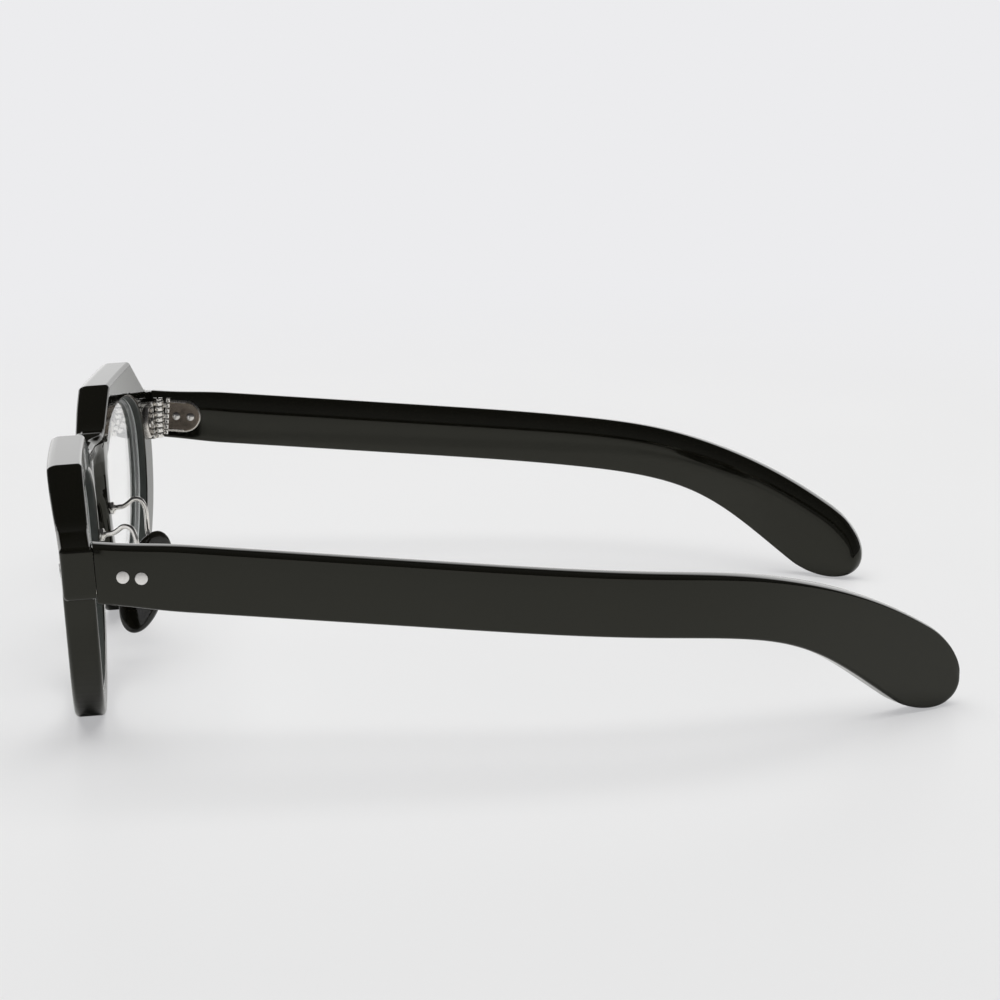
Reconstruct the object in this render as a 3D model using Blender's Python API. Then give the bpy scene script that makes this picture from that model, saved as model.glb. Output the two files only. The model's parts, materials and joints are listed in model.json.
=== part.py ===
"""Eyeglasses: a crown panto acetate front, riveted seven-barrel hinges and nose pads on arms.

The pair stands as it is put down on a table with both temples open, so the rim bottoms and the
temple tips touch Z = 0. X runs across the face with +X at the wearer's left, Y runs from the
front towards the temple tips and Z is up. Lengths are in metres and angles are in degrees.
Every left-hand piece is modelled first, and the right-hand one is its mirror image.
"""

import math

import bmesh
import bpy
from mathutils import Matrix, Vector

# Lens openings, seen square to the front
LENS_WIDTH = 0.0454
LENS_RISE = 0.0118
LENS_DROP = 0.0230
LENS_GAP = 0.0246
LENS_TOP_POWER = 2.4
LENS_BOTTOM_POWER = 2.1

# Lenses and the groove that holds them
LENS_THICKNESS = 0.0020
LENS_DOME = 0.0014
LENS_EDGE_REACH = 0.0005
LENS_SETBACK = 0.0026
GROOVE_DEPTH = 0.0008
GROOVE_CLEARANCE = 0.00015

# Acetate front: rim widths round each opening, crown, end pieces and bridge
RIM_THICKNESS = 0.0050
BROW_THICKNESS = 0.0057
BROW_RISE = 0.0120
FRONT_TILT = 3.13
WRAP_RADIUS = 0.500
FRONT_SETBACK = -0.00275
RIM_TOP = 0.0052
RIM_BOTTOM = 0.0040
RIM_NASAL = 0.0038
RIM_TEMPORAL = 0.0072
CROWN_NASAL = 0.0102
CROWN_TEMPORAL = 0.0154
END_REACH = 0.0133
END_DROP = 0.0091
END_HEIGHT = 0.0081
SHELF_LENGTH = 0.0086
SHELF_RISE = 0.0017
END_UNDERCUT = 0.0005
BRIDGE_DROP = 0.0064
BRIDGE_HALF_LENGTH = 0.0125
BRIDGE_SADDLE = 0.0004
BRIDGE_HEIGHT = 0.0074
ARCH_SPRING_DROP = 0.0030
NOSE_BEVEL = 0.0036
BEVEL_HALF_LENGTH = 0.0045
BEVEL_FADE = 0.0065
CROWN_RADIUS = 0.0012
END_RADIUS = 0.0009
SADDLE_RADIUS = 0.0030
SHELF_RADIUS = 0.0080
EDGE_FILLET = 0.0008
OPENING_FILLET = 0.0005
REST_FLAT = 0.0002

# Temples: a straight run, an inward and a downward bend, and a paddle tip
TEMPLE_LENGTH = 0.1481
TEMPLE_THICKNESS = 0.0042
TEMPLE_HEIGHT = 0.0100
TEMPLE_BUTT_HEIGHT = 0.0091
TEMPLE_BUTT_RUN = 0.0150
TEMPLE_FILLET = 0.0011
TEMPLE_DROP = 0.00025
TEMPLE_GAP = 0.0003
TEMPLE_SLOPE = 4.73
TEMPLE_SPLAY = 0.8
INWARD_BEND = 30.5
INWARD_START = 0.0500
INWARD_RUN = 0.0796
DOWNWARD_BEND = 27.7
DOWNWARD_START = 0.0830
DOWNWARD_RUN = 0.0598
PADDLE_HEIGHT = 0.0138
PADDLE_START = 0.1020
PADDLE_RUN = 0.0421
TIP_ROUND = 0.0118
TIP_POWER = 2.0
TIP_EDGE = 0.0020

# Hinges: barrels round a screw, and a leaf let into the acetate on each side
BARREL_COUNT = 7
BARREL_RADIUS = 0.00115
BARREL_HEIGHT = 0.00095
BARREL_GAP = 0.00012
BARREL_BORE = 0.00065
HINGE_STANDOFF = 0.00145
HINGE_DROP = 0.00095
HINGE_RELIEF = 0.00015
LEAF_HEIGHT = 0.0064
LEAF_PROUD = 0.00075
LEAF_SUNK = 0.00035
LEAF_START = 0.0003
TEMPLE_LEAF_LENGTH = 0.0084
FRONT_LEAF_LENGTH = 0.0064
POCKET_CLEARANCE = 0.00015
POCKET_FLOOR_GAP = 0.0002
SCREW_RADIUS = 0.00055
SCREW_HEAD_RADIUS = 0.0010
SCREW_HEAD_HEIGHT = 0.0005
SCREW_HEAD_GAP = 0.0001

# Rivets through the leaves
TEMPLE_RIVET_RADIUS = 0.00098
FRONT_RIVET_RADIUS = 0.0008
TEMPLE_RIVET_REACHES = (0.0035, 0.0063)
FRONT_RIVET_REACHES = (0.0022, 0.0048)
RIVET_SHANK_RADIUS = 0.00055
RIVET_DOME_RADIUS = 0.00080
RIVET_DOME_HEIGHT = 0.00035
RIVET_CLEARANCE = 0.00015
RIVET_SEAT_GAP = 0.00005

# Nose pads, their arms and their screws
PAD_HEIGHT = 0.0146
PAD_WIDTH = 0.0078
PAD_FACE = 0.0013
PAD_BACK = 0.0010
PAD_INSET = 0.0027
PAD_STANDOFF = 0.0056
PAD_DROP = 0.01385
PAD_SPLAY = 24.0
PAD_LEAN_IN = 13.0
PAD_LEAN_BACK = 16.4
PIVOT_REACH = 0.0020
BOSS_WIDTH = 0.0013
BOSS_HALF_HEIGHT = 0.0010
BOSS_BEYOND_PIVOT = 0.0007
CLIP_CLEARANCE = 0.0003
CLIP_WALL = 0.0005
CLIP_HALF_HEIGHT = 0.0013
CLIP_PAD_GAP = 0.00030
PAD_SCREW_RADIUS = 0.0004
PAD_SCREW_HEAD_RADIUS = 0.0007
PAD_SCREW_HEAD_HEIGHT = 0.0004
PAD_SCREW_CLEARANCE = 0.0001
ARM_RADIUS = 0.00045
ARM_FOOT_IN = 0.0013
ARM_FOOT_DROP = 0.0032
ARM_STEM_RADIUS = 0.0006
ARM_STEM_DEPTH = 0.0024
ARM_HOLE_CLEARANCE = 0.0002
ARM_COLLAR_RADIUS = 0.0011
ARM_COLLAR_HEIGHT = 0.0012
ARM_COLLAR_GAP = 0.0001
ARM_BENDS = (
    (0.0000, 0.0016, 0.0002),
    (0.0001, 0.0023, 0.0003),
    (0.0002, 0.0031, 0.0008),
    (0.0004, 0.0039, 0.0014),
    (0.0006, 0.0048, 0.0015),
    (0.0008, 0.0056, 0.0010),
    (0.0010, 0.0061, -0.0001),
    (0.0011, 0.0063, -0.0014),
    (0.0012, 0.0064, -0.0043),
)
ARM_DESCENT = 0.0034

# Forms of small pieces, as shares of their radius and height or of their size
DOME_PROFILE = ((1.0, 0.0), (0.8, 0.6), (0.35, 1.0))
SCREW_HEAD_PROFILE = ((1.0, 0.0), (1.0, 0.7), (0.75, 1.0))
PAD_SCREW_HEAD_PROFILE = ((1.0, 0.0), (0.8, 1.0))
COLLAR_PROFILE = ((1.0, 0.0), (1.0, 0.5), (0.65, 0.75), (0.55, 1.0))
PAD_FACE_PROFILE = ((0.40, -1.0), (0.75, -0.78), (0.95, -0.35))
PAD_BACK_PROFILE = ((1.0, 0.1), (0.97, 0.7), (0.88, 1.0))
RELIEF_GAP_SHARE = 0.8
FILLET_SHARE_LIMIT = 0.9

# Facets of round stretches
LENS_POINTS = 44
CORNER_STEPS = 3
RIM_STEPS = 26
ARCH_STEPS = 6
ROUND_SIDES = 16
WIRE_SIDES = 8
WIRE_STEPS = 3
SECTION_STEPS = 3
BEND_STATIONS = 14
TIP_STATIONS = 7
PAD_POINTS = 24
PATH_STEPS = 200
LENS_RINGS = (0.5, 1.0)
SHARP_ANGLE = 35.0
CUT_TOLERANCE = 1e-7

# Places that follow from the sizes above, in the plane of the front
LENS_CENTRE = Vector((LENS_GAP / 2 + LENS_WIDTH / 2, RIM_BOTTOM + LENS_DROP))
CROWN_TOP = LENS_CENTRE.y + LENS_RISE + RIM_TOP
BRIDGE_TOP = CROWN_TOP - BRIDGE_DROP
END_TOP = CROWN_TOP - END_DROP
END_BOTTOM = END_TOP - END_HEIGHT
FRONT_HALF = LENS_GAP / 2 + LENS_WIDTH + END_REACH
TILT = math.radians(FRONT_TILT)
PAD_CENTRE = Vector((LENS_GAP / 2 - PAD_INSET, FRONT_SETBACK + PAD_STANDOFF, LENS_CENTRE.y - PAD_DROP))
LENS_BOW = LENS_CENTRE.x ** 2 / (2 * WRAP_RADIUS)
FRONT_BASE = (RIM_THICKNESS - EDGE_FILLET - LENS_BOW) * math.sin(TILT) - REST_FLAT


def front_point(across, up, back):
    """Place a point of the flat front on the curved and tilted one, which thickens at the brow."""
    brow = smooth_rise((up - CROWN_TOP + BROW_RISE) / BROW_RISE)
    thickened = back * (1 + brow * (BROW_THICKNESS / RIM_THICKNESS - 1))
    bevelled = thickened - nose_bevel(across, up) * (1 + back / RIM_THICKNESS)
    bowed = bevelled + across ** 2 / (2 * WRAP_RADIUS)
    y = FRONT_SETBACK + bowed * math.cos(TILT) - up * math.sin(TILT)
    z = FRONT_BASE + up * math.cos(TILT) + bowed * math.sin(TILT)
    return Vector((across, y, z))


def nose_bevel(across, up):
    """Return how far the rear of the bridge is cut back for the nose, which is most at its lower edge."""
    share = min(max((BRIDGE_TOP - up) / BRIDGE_HEIGHT, 0), 1)
    return NOSE_BEVEL * share * (1 - smooth_rise((abs(across) - BEVEL_HALF_LENGTH) / BEVEL_FADE))


def front_frame_at(across, up, back):
    """Return a frame on the rear face: X towards the nose, Y up the front, Z out of the face."""
    upwards = Vector((0, -math.sin(TILT), math.cos(TILT)))
    slope = across / WRAP_RADIUS
    outwards = Vector((1, slope * math.cos(TILT), slope * math.sin(TILT))).normalized()
    return axes_at(front_point(across, up, back), -outwards, upwards)


def axes_at(origin, x_axis, y_axis):
    """Return the matrix of a right or left handed frame with two given axes."""
    z_axis = x_axis.cross(y_axis)
    frame = Matrix((x_axis, y_axis, z_axis)).transposed().to_4x4()
    frame.translation = origin
    return frame


def superellipse(angle, width, height, power):
    """Return the point of a squarish oval at an angle."""
    across = math.cos(angle)
    up = math.sin(angle)
    return Vector((
        width * math.copysign(abs(across) ** (2 / power), across),
        height * math.copysign(abs(up) ** (2 / power), up),
    ))


def smooth_rise(share):
    """Return a rise from 0 to 1 that starts and ends without a kink."""
    share = min(max(share, 0), 1)
    return share ** 3 * (share * (6 * share - 15) + 10)


def lens_outline(grow):
    """Return the left lens opening in the plane of the front, grown by a distance."""
    points = []
    for step in range(LENS_POINTS):
        angle = 2 * math.pi * step / LENS_POINTS
        rising = math.sin(angle) >= 0
        height = LENS_RISE if rising else LENS_DROP
        power = LENS_TOP_POWER if rising else LENS_BOTTOM_POWER
        points.append(LENS_CENTRE + superellipse(angle, LENS_WIDTH / 2 + grow, height + grow, power))
    return points


def rounded(corners):
    """Return a path through corners (across, up, radius), with arcs where the radius isn't zero."""
    points = []
    for index, (across, up, radius) in enumerate(corners):
        here = Vector((across, up))
        if radius == 0:
            points.append(here)
            continue
        before = (Vector(corners[index - 1][:2]) - here).normalized()
        after = (Vector(corners[index + 1][:2]) - here).normalized()
        half_angle = before.angle(after) / 2
        reach = radius / math.tan(half_angle)
        middle = here + (before + after).normalized() * radius / math.sin(half_angle)
        start = here + before * reach - middle
        finish = here + after * reach - middle
        for step in range(CORNER_STEPS + 1):
            points.append(middle + start.slerp(finish, step / CORNER_STEPS) * radius)
    return points


def rim_angle(drop):
    """Return the angle on the rim's lower edge at a distance below the lens centre."""
    share = drop / (LENS_DROP + RIM_BOTTOM)
    return math.asin(share ** (LENS_BOTTOM_POWER / 2))


def rim_point(angle):
    """Return the point of the left rim's lower edge at an angle below the temporal side."""
    margin = RIM_TEMPORAL if math.cos(angle) >= 0 else RIM_NASAL
    oval = superellipse(-angle, LENS_WIDTH / 2 + margin, LENS_DROP + RIM_BOTTOM, LENS_BOTTOM_POWER)
    return LENS_CENTRE + oval


def front_outline():
    """Return the edge of the whole front, clockwise from the middle of the bridge."""
    first_angle = rim_angle(LENS_CENTRE.y - END_BOTTOM + 2 * END_RADIUS)
    last_angle = math.pi - rim_angle(ARCH_SPRING_DROP)
    rim_start = rim_point(first_angle)
    spring = rim_point(last_angle)
    half = rounded([
        (0, BRIDGE_TOP - BRIDGE_SADDLE, 0),
        (BRIDGE_HALF_LENGTH, BRIDGE_TOP, SADDLE_RADIUS),
        (LENS_CENTRE.x - CROWN_NASAL, CROWN_TOP, CROWN_RADIUS),
        (LENS_CENTRE.x + CROWN_TEMPORAL, CROWN_TOP, CROWN_RADIUS),
        (FRONT_HALF - SHELF_LENGTH, END_TOP + SHELF_RISE, SHELF_RADIUS),
        (FRONT_HALF, END_TOP, END_RADIUS),
        (FRONT_HALF, END_BOTTOM, END_RADIUS),
        (rim_start.x, END_BOTTOM - END_UNDERCUT, END_RADIUS),
        (rim_start.x, rim_start.y, 0),
    ])
    for step in range(1, RIM_STEPS + 1):
        half.append(rim_point(first_angle + (last_angle - first_angle) * step / RIM_STEPS))
    arch_rise = BRIDGE_TOP - BRIDGE_HEIGHT - spring.y
    for step in range(1, ARCH_STEPS + 1):
        angle = math.pi / 2 * step / ARCH_STEPS
        half.append(Vector((spring.x * math.cos(angle), spring.y + arch_rise * math.sin(angle))))
    half[-1].x = 0
    return half + [Vector((-point.x, point.y)) for point in reversed(half[1:-1])]


def inset(points, distance):
    """Return a closed clockwise outline moved inwards by a distance."""
    moved = []
    for index, here in enumerate(points):
        along = (points[(index + 1) % len(points)] - points[index - 1]).normalized()
        moved.append(here + Vector((along.y, -along.x)) * distance)
    return moved


def add_ring(mesh, points):
    """Add one ring of points and return its vertices."""
    return [mesh.verts.new(point) for point in points]


def skin(mesh, rings):
    """Join rings of equal length with four-sided faces."""
    for lower, upper in zip(rings, rings[1:]):
        for index in range(len(lower)):
            mesh.faces.new((lower[index - 1], lower[index], upper[index], upper[index - 1]))


def ring_edges(mesh, ring):
    """Return the edges that run round a ring."""
    return [mesh.edges.get((ring[index - 1], ring[index])) for index in range(len(ring))]


def loft(rings):
    """Return a closed mesh through rings of points, with flat ends."""
    mesh = bmesh.new()
    made = [add_ring(mesh, ring) for ring in rings]
    skin(mesh, made)
    mesh.faces.new(made[0])
    mesh.faces.new(reversed(made[-1]))
    return mesh


def circle(radius, height, sides):
    """Return the points of a circle round the local Z axis."""
    turn = 2 * math.pi / sides
    return [
        Vector((radius * math.cos(turn * side), radius * math.sin(turn * side), height))
        for side in range(sides)
    ]


def turned(profile, frame):
    """Return a solid turned round the frame's Z axis from a profile of (radius, height)."""
    mesh = loft([circle(radius, height, ROUND_SIDES) for radius, height in profile])
    mesh.transform(frame)
    return mesh


def scaled(profile, radius, height, base):
    """Return a profile of shares as radii and heights above a base."""
    return [(share * radius, base + rise * height) for share, rise in profile]


def prism(outline, low, high, frame):
    """Return an outline drawn in the frame's XY plane and extruded between two heights."""
    rings = [[Vector((point.x, point.y, level)) for point in outline] for level in (low, high)]
    mesh = loft(rings)
    mesh.transform(frame)
    return mesh


def block(low, high, frame):
    """Return a box between two corners of a frame."""
    outline = [
        Vector((low[0], low[1])),
        Vector((high[0], low[1])),
        Vector((high[0], high[1])),
        Vector((low[0], high[1])),
    ]
    return prism(outline, low[2], high[2], frame)


def merge(meshes):
    """Return one mesh that holds several, as separate bodies."""
    whole = bmesh.new()
    for mesh in meshes:
        part = bpy.data.meshes.new("part")
        mesh.to_mesh(part)
        mesh.free()
        whole.from_mesh(part)
        bpy.data.meshes.remove(part)
    return whole


def finish(name, colour, roughness, metallic):
    """Return a material with one colour, roughness and metallic value."""
    material = bpy.data.materials.new(name)
    material.use_nodes = True
    shader = material.node_tree.nodes["Principled BSDF"]
    shader.inputs["Base Color"].default_value = (*colour, 1)
    shader.inputs["Roughness"].default_value = roughness
    shader.inputs["Metallic"].default_value = metallic
    return material


def add_object(name, mesh, material, parent, side):
    """Make a named object from a left-hand mesh, mirrored where the side is -1."""
    if side < 0:
        bmesh.ops.scale(mesh, vec=(-1, 1, 1), verts=mesh.verts)
    bmesh.ops.recalc_face_normals(mesh, faces=mesh.faces)
    data = bpy.data.meshes.new(name)
    mesh.to_mesh(data)
    mesh.free()
    data.shade_smooth()
    data.set_sharp_from_angle(angle=math.radians(SHARP_ANGLE))
    if material:
        data.materials.append(material)
    piece = bpy.data.objects.new(name, data)
    bpy.context.collection.objects.link(piece)
    piece.parent = parent
    piece.matrix_parent_inverse = parent.matrix_world.inverted()
    return piece


def combine(piece, name, mesh, operation, side):
    """Cut a mesh out of a piece or join it on, with a hidden helper object."""
    helper = add_object(name, mesh, None, piece.parent, side)
    helper.hide_render = True
    helper.display_type = "WIRE"
    modifier = piece.modifiers.new(name, "BOOLEAN")
    modifier.operation = operation
    modifier.solver = "EXACT"
    modifier.object = helper


def add_empty(name, place, parent):
    """Add an empty that carries pieces, at a point of the model."""
    empty = bpy.data.objects.new(name, None)
    bpy.context.collection.objects.link(empty)
    empty.location = place
    if parent:
        empty.parent = parent
    bpy.context.view_layer.update()
    return empty


def edge_profile():
    """Return the front's outer edge as (inset, level) from the rear face to the front face."""
    eased = EDGE_FILLET * (1 - math.sqrt(0.5))
    rear = [(EDGE_FILLET, 0), (eased, -eased), (0, -EDGE_FILLET)]
    return rear + [(depth, -RIM_THICKNESS - level) for depth, level in reversed(rear)]


def opening_profile():
    """Return the wall of a lens opening as (growth, level), with the groove for the lens."""
    eased = OPENING_FILLET * (1 - math.sqrt(0.5))
    rear = [(OPENING_FILLET, 0), (eased, -eased), (0, -OPENING_FILLET)]
    half_groove = LENS_THICKNESS / 2
    groove = [
        (0, half_groove - LENS_SETBACK),
        (GROOVE_DEPTH, -LENS_SETBACK),
        (0, -half_groove - LENS_SETBACK),
    ]
    return rear + groove + [(grow, -RIM_THICKNESS - level) for grow, level in reversed(rear)]


def front_mesh():
    """Return the acetate front with its two grooved lens openings and the flats it rests on."""
    mesh = bmesh.new()
    outline = front_outline()
    walls = [[
        add_ring(mesh, [point.to_3d() + Vector((0, 0, level)) for point in inset(outline, depth)])
        for depth, level in edge_profile()
    ]]
    for side in (1, -1):
        walls.append([
            add_ring(mesh, [Vector((side * point.x, point.y, level)) for point in lens_outline(grow)])
            for grow, level in opening_profile()
        ])
    for wall in walls:
        skin(mesh, wall)
    for end in (0, -1):
        edges = [edge for wall in walls for edge in ring_edges(mesh, wall[end])]
        bmesh.ops.triangle_fill(mesh, use_beauty=True, use_dissolve=False, edges=edges)
    for vertex in mesh.verts:
        vertex.co = front_point(*vertex.co)
    everything = mesh.verts[:] + mesh.edges[:] + mesh.faces[:]
    bmesh.ops.bisect_plane(
        mesh, geom=everything, dist=CUT_TOLERANCE, plane_co=(0, 0, 0), plane_no=(0, 0, -1),
        clear_outer=True)
    open_edges = [edge for edge in mesh.edges if edge.is_boundary]
    bmesh.ops.edgeloop_fill(mesh, edges=open_edges)
    return mesh


def lens_mesh():
    """Return the left lens: a shallow dome of even thickness with a bevelled edge."""
    mesh = bmesh.new()
    half = LENS_THICKNESS / 2
    rings = []
    for level, shares in ((half, LENS_RINGS), (-half, LENS_RINGS[::-1])):
        if level < 0:
            edge = lens_outline(LENS_EDGE_REACH)
            rings.append([Vector((point.x, point.y, -LENS_SETBACK)) for point in edge])
        for share in shares:
            height = level - LENS_SETBACK - LENS_DOME * (1 - share ** 2)
            rim = [LENS_CENTRE.lerp(point, share) for point in lens_outline(-GROOVE_CLEARANCE)]
            rings.append([Vector((point.x, point.y, height)) for point in rim])
    made = [add_ring(mesh, ring) for ring in rings]
    skin(mesh, made)
    for ring, level in ((made[0], half), (made[-1], -half)):
        middle = mesh.verts.new((LENS_CENTRE.x, LENS_CENTRE.y, level - LENS_SETBACK - LENS_DOME))
        for index in range(len(ring)):
            mesh.faces.new((ring[index - 1], ring[index], middle))
    for vertex in mesh.verts:
        vertex.co = front_point(*vertex.co)
    return mesh


def temple_stations():
    """Return the distances along the temple at which its section is drawn."""
    tip_start = TEMPLE_LENGTH - TIP_ROUND
    stations = [0, TEMPLE_BUTT_RUN / 2, TEMPLE_BUTT_RUN]
    for step in range(BEND_STATIONS):
        stations.append(INWARD_START + (tip_start - INWARD_START) * step / BEND_STATIONS)
    for step in range(TIP_STATIONS):
        stations.append(tip_start + TIP_ROUND * math.sin(math.pi / 2 * step / TIP_STATIONS))
    return stations


def temple_frame_at(distance):
    """Return a frame on the temple's centreline: X outwards, Y up and Z forwards along it."""
    place = Vector((
        FRONT_HALF - TEMPLE_THICKNESS / 2,
        BUTT.y,
        END_MIDDLE.z - TEMPLE_DROP,
    ))
    step = distance / PATH_STEPS
    for index in range(PATH_STEPS):
        place += temple_heading((index + 0.5) * step) * step
    heading = temple_heading(distance)
    upwards = (Vector((0, 0, 1)) - heading * heading.z).normalized()
    return axes_at(place, heading.cross(upwards), upwards)


def temple_heading(distance):
    """Return the direction of the temple's centreline at a distance from its butt."""
    inward = INWARD_BEND * smooth_rise((distance - INWARD_START) / INWARD_RUN) - TEMPLE_SPLAY
    downward = DOWNWARD_BEND * smooth_rise((distance - DOWNWARD_START) / DOWNWARD_RUN) + TEMPLE_SLOPE
    turn = math.radians(inward)
    dip = math.radians(downward)
    return Vector((-math.cos(dip) * math.sin(turn), math.cos(dip) * math.cos(turn), -math.sin(dip)))


def temple_section(distance):
    """Return the temple's rounded section at a distance, in its own plane."""
    grown = TEMPLE_BUTT_HEIGHT + (TEMPLE_HEIGHT - TEMPLE_BUTT_HEIGHT) * smooth_rise(
        distance / TEMPLE_BUTT_RUN)
    height = grown + (PADDLE_HEIGHT - TEMPLE_HEIGHT) * smooth_rise(
        (distance - PADDLE_START) / PADDLE_RUN)
    into_tip = max(0, 1 - (TEMPLE_LENGTH - distance) / TIP_ROUND)
    half_height = height / 2 * (1 - into_tip ** TIP_POWER) ** (1 / TIP_POWER)
    into_edge = max(0, 1 - (TEMPLE_LENGTH - distance) / TIP_EDGE)
    half_width = TEMPLE_THICKNESS / 2 * math.sqrt(1 - into_edge ** 2)
    fillet = min(TEMPLE_FILLET, FILLET_SHARE_LIMIT * min(half_height, half_width))
    points = []
    for quarter in range(4):
        for step in range(SECTION_STEPS + 1):
            angle = math.pi / 2 * (quarter + step / SECTION_STEPS)
            corner = Vector((
                half_width - fillet if quarter in (0, 3) else fillet - half_width,
                half_height - fillet if quarter in (0, 1) else fillet - half_height,
            ))
            points.append(corner + Vector((math.cos(angle), math.sin(angle))) * fillet)
    return points


def temple_mesh():
    """Return the left temple, its butt cut to lie against the rear of the end piece."""
    rings = []
    for distance in temple_stations():
        frame = temple_frame_at(distance)
        rings.append([frame @ point.to_3d() for point in temple_section(distance)])
    along = temple_heading(0)
    square = front_frame_at(BUTT_ACROSS, END_MIDDLE_UP, TEMPLE_GAP).to_3x3().col[2]
    for point in rings[0]:
        point += along * ((BUTT - point).dot(square) / along.dot(square))
    return loft(rings)


def leaf_outline(length, grow):
    """Return a hinge leaf from its barrel to its round end, grown by a distance."""
    half = LEAF_HEIGHT / 2 + grow
    start = LEAF_START - grow
    middle = length - LEAF_HEIGHT / 2
    points = [Vector((start, half)), Vector((start, -half))]
    for step in range(ROUND_SIDES // 2 + 1):
        angle = math.pi * (step / (ROUND_SIDES // 2) - 0.5)
        points.append(Vector((middle + half * math.cos(angle), half * math.sin(angle))))
    return points


def barrel_levels(first):
    """Return the heights of every other barrel's middle, from the first one up."""
    pitch = BARREL_HEIGHT + BARREL_GAP
    middle = (BARREL_COUNT - 1) / 2
    return [(index - middle) * pitch for index in range(first, BARREL_COUNT, 2)]


def barrels_mesh(first):
    """Return every other barrel of a hinge as bored rings round the screw's axis."""
    rings = []
    for level in barrel_levels(first):
        low = level - BARREL_HEIGHT / 2
        high = level + BARREL_HEIGHT / 2
        loops = ((BARREL_RADIUS, low), (BARREL_RADIUS, high), (BARREL_BORE, high), (BARREL_BORE, low))
        mesh = bmesh.new()
        made = [add_ring(mesh, circle(radius, height, ROUND_SIDES)) for radius, height in loops]
        skin(mesh, made + made[:1])
        mesh.transform(Matrix.Translation(HINGE_PLACE))
        rings.append(mesh)
    return merge(rings)


def relief_mesh(first):
    """Return the room that a leaf leaves round the other leaf's barrels."""
    radius = BARREL_RADIUS + HINGE_RELIEF
    half = BARREL_HEIGHT / 2 + BARREL_GAP * RELIEF_GAP_SHARE
    place = Matrix.Translation(HINGE_PLACE)
    return merge([
        turned([(radius, level - half), (radius, level + half)], place)
        for level in barrel_levels(first)
    ])


def rivet_holes(frame, reaches, radius, low, high):
    """Return a round cutter at each rivet of a leaf."""
    return merge([
        turned([(radius, low), (radius, high)], frame @ Matrix.Translation((reach, 0, 0)))
        for reach in reaches
    ])


def add_leaf(name, frame, length, reaches, first, material, parent, side):
    """Add one hinge leaf with its barrels, its relief and its rivet holes."""
    plate = prism(leaf_outline(length, 0), -LEAF_SUNK, LEAF_PROUD, frame)
    piece = add_object(name, plate, material, parent, side)
    hole = RIVET_SHANK_RADIUS + RIVET_CLEARANCE
    beyond = LEAF_PROUD + LEAF_SUNK
    combine(piece, name + "_relief", relief_mesh(1 - first), "DIFFERENCE", side)
    combine(piece, name + "_barrels", barrels_mesh(first), "UNION", side)
    combine(piece, name + "_holes", rivet_holes(frame, reaches, hole, -beyond, beyond), "DIFFERENCE", side)


def cut_leaf_seat(piece, label, frame, length, reaches, radius, depth, side):
    """Cut a leaf's pocket and its rivet holes out of the acetate."""
    floor = -LEAF_SUNK - POCKET_FLOOR_GAP
    seat = prism(leaf_outline(length, POCKET_CLEARANCE), floor, LEAF_PROUD, frame)
    combine(piece, label + "_pocket", seat, "DIFFERENCE", side)
    holes = rivet_holes(frame, reaches, radius + RIVET_CLEARANCE, -2 * depth, LEAF_PROUD)
    combine(piece, label + "_rivet_holes", holes, "DIFFERENCE", side)


def add_rivets(name, frame, reaches, radius, depth, material, parent, side):
    """Add a leaf's rivets, from their flush discs outside to their domes on the leaf."""
    seat = -LEAF_SUNK - POCKET_FLOOR_GAP - RIVET_CLEARANCE
    dome = LEAF_PROUD + RIVET_SEAT_GAP
    profile = [
        (radius, -depth + RIVET_SEAT_GAP),
        (radius, seat),
        (RIVET_SHANK_RADIUS, seat),
        (RIVET_SHANK_RADIUS, dome),
        *scaled(DOME_PROFILE, RIVET_DOME_RADIUS, RIVET_DOME_HEIGHT, dome),
    ]
    for number, reach in enumerate(reaches, start=1):
        mesh = turned(profile, frame @ Matrix.Translation((reach, 0, 0)))
        add_object(f"{name}_{number}", mesh, material, parent, side)


def hinge_screw_mesh():
    """Return the screw that the barrels turn on, with its head on the top barrel."""
    pitch = BARREL_HEIGHT + BARREL_GAP
    half = (BARREL_COUNT - 1) / 2 * pitch + BARREL_HEIGHT / 2
    head = half + SCREW_HEAD_GAP
    profile = [
        (SCREW_RADIUS, -half),
        (SCREW_RADIUS, head),
        *scaled(SCREW_HEAD_PROFILE, SCREW_HEAD_RADIUS, SCREW_HEAD_HEIGHT, head),
    ]
    return turned(profile, Matrix.Translation(HINGE_PLACE))


def pad_frame():
    """Return the left pad's frame: X away from the nose, Y to its rear edge and Z up along it."""
    lean_back = Matrix.Rotation(-math.radians(PAD_LEAN_BACK), 4, "X")
    lean_in = Matrix.Rotation(-math.radians(PAD_LEAN_IN), 4, "Y")
    splay = Matrix.Rotation(-math.radians(PAD_SPLAY), 4, "Z")
    return Matrix.Translation(PAD_CENTRE) @ lean_back @ lean_in @ splay


def pad_mesh(frame):
    """Return a nose pad: an oval with a domed face towards the nose and a flat back."""
    profile = scaled(PAD_FACE_PROFILE, 1, PAD_FACE, 0) + scaled(PAD_BACK_PROFILE, 1, PAD_BACK, 0)
    rings = []
    for share, level in profile:
        ring = []
        for step in range(PAD_POINTS):
            angle = 2 * math.pi * step / PAD_POINTS
            y = share * PAD_WIDTH / 2 * math.cos(angle)
            z = share * PAD_HEIGHT / 2 * math.sin(angle)
            ring.append(Vector((level, y, z)))
        rings.append(ring)
    mesh = loft(rings)
    mesh.transform(frame)
    return mesh


def pivot_frame(frame):
    """Return a frame on the pad's pivot, with Z along the screw."""
    pivot = frame @ Matrix.Translation((PIVOT_REACH, 0, 0))
    return pivot @ Matrix.Rotation(-math.pi / 2, 4, "X")


def screw_bore(frame):
    """Return the cutter for the pad screw's hole."""
    radius = PAD_SCREW_RADIUS + PAD_SCREW_CLEARANCE
    half = BOSS_WIDTH
    return turned([(radius, -2 * half), (radius, 2 * half)], pivot_frame(frame))


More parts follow.
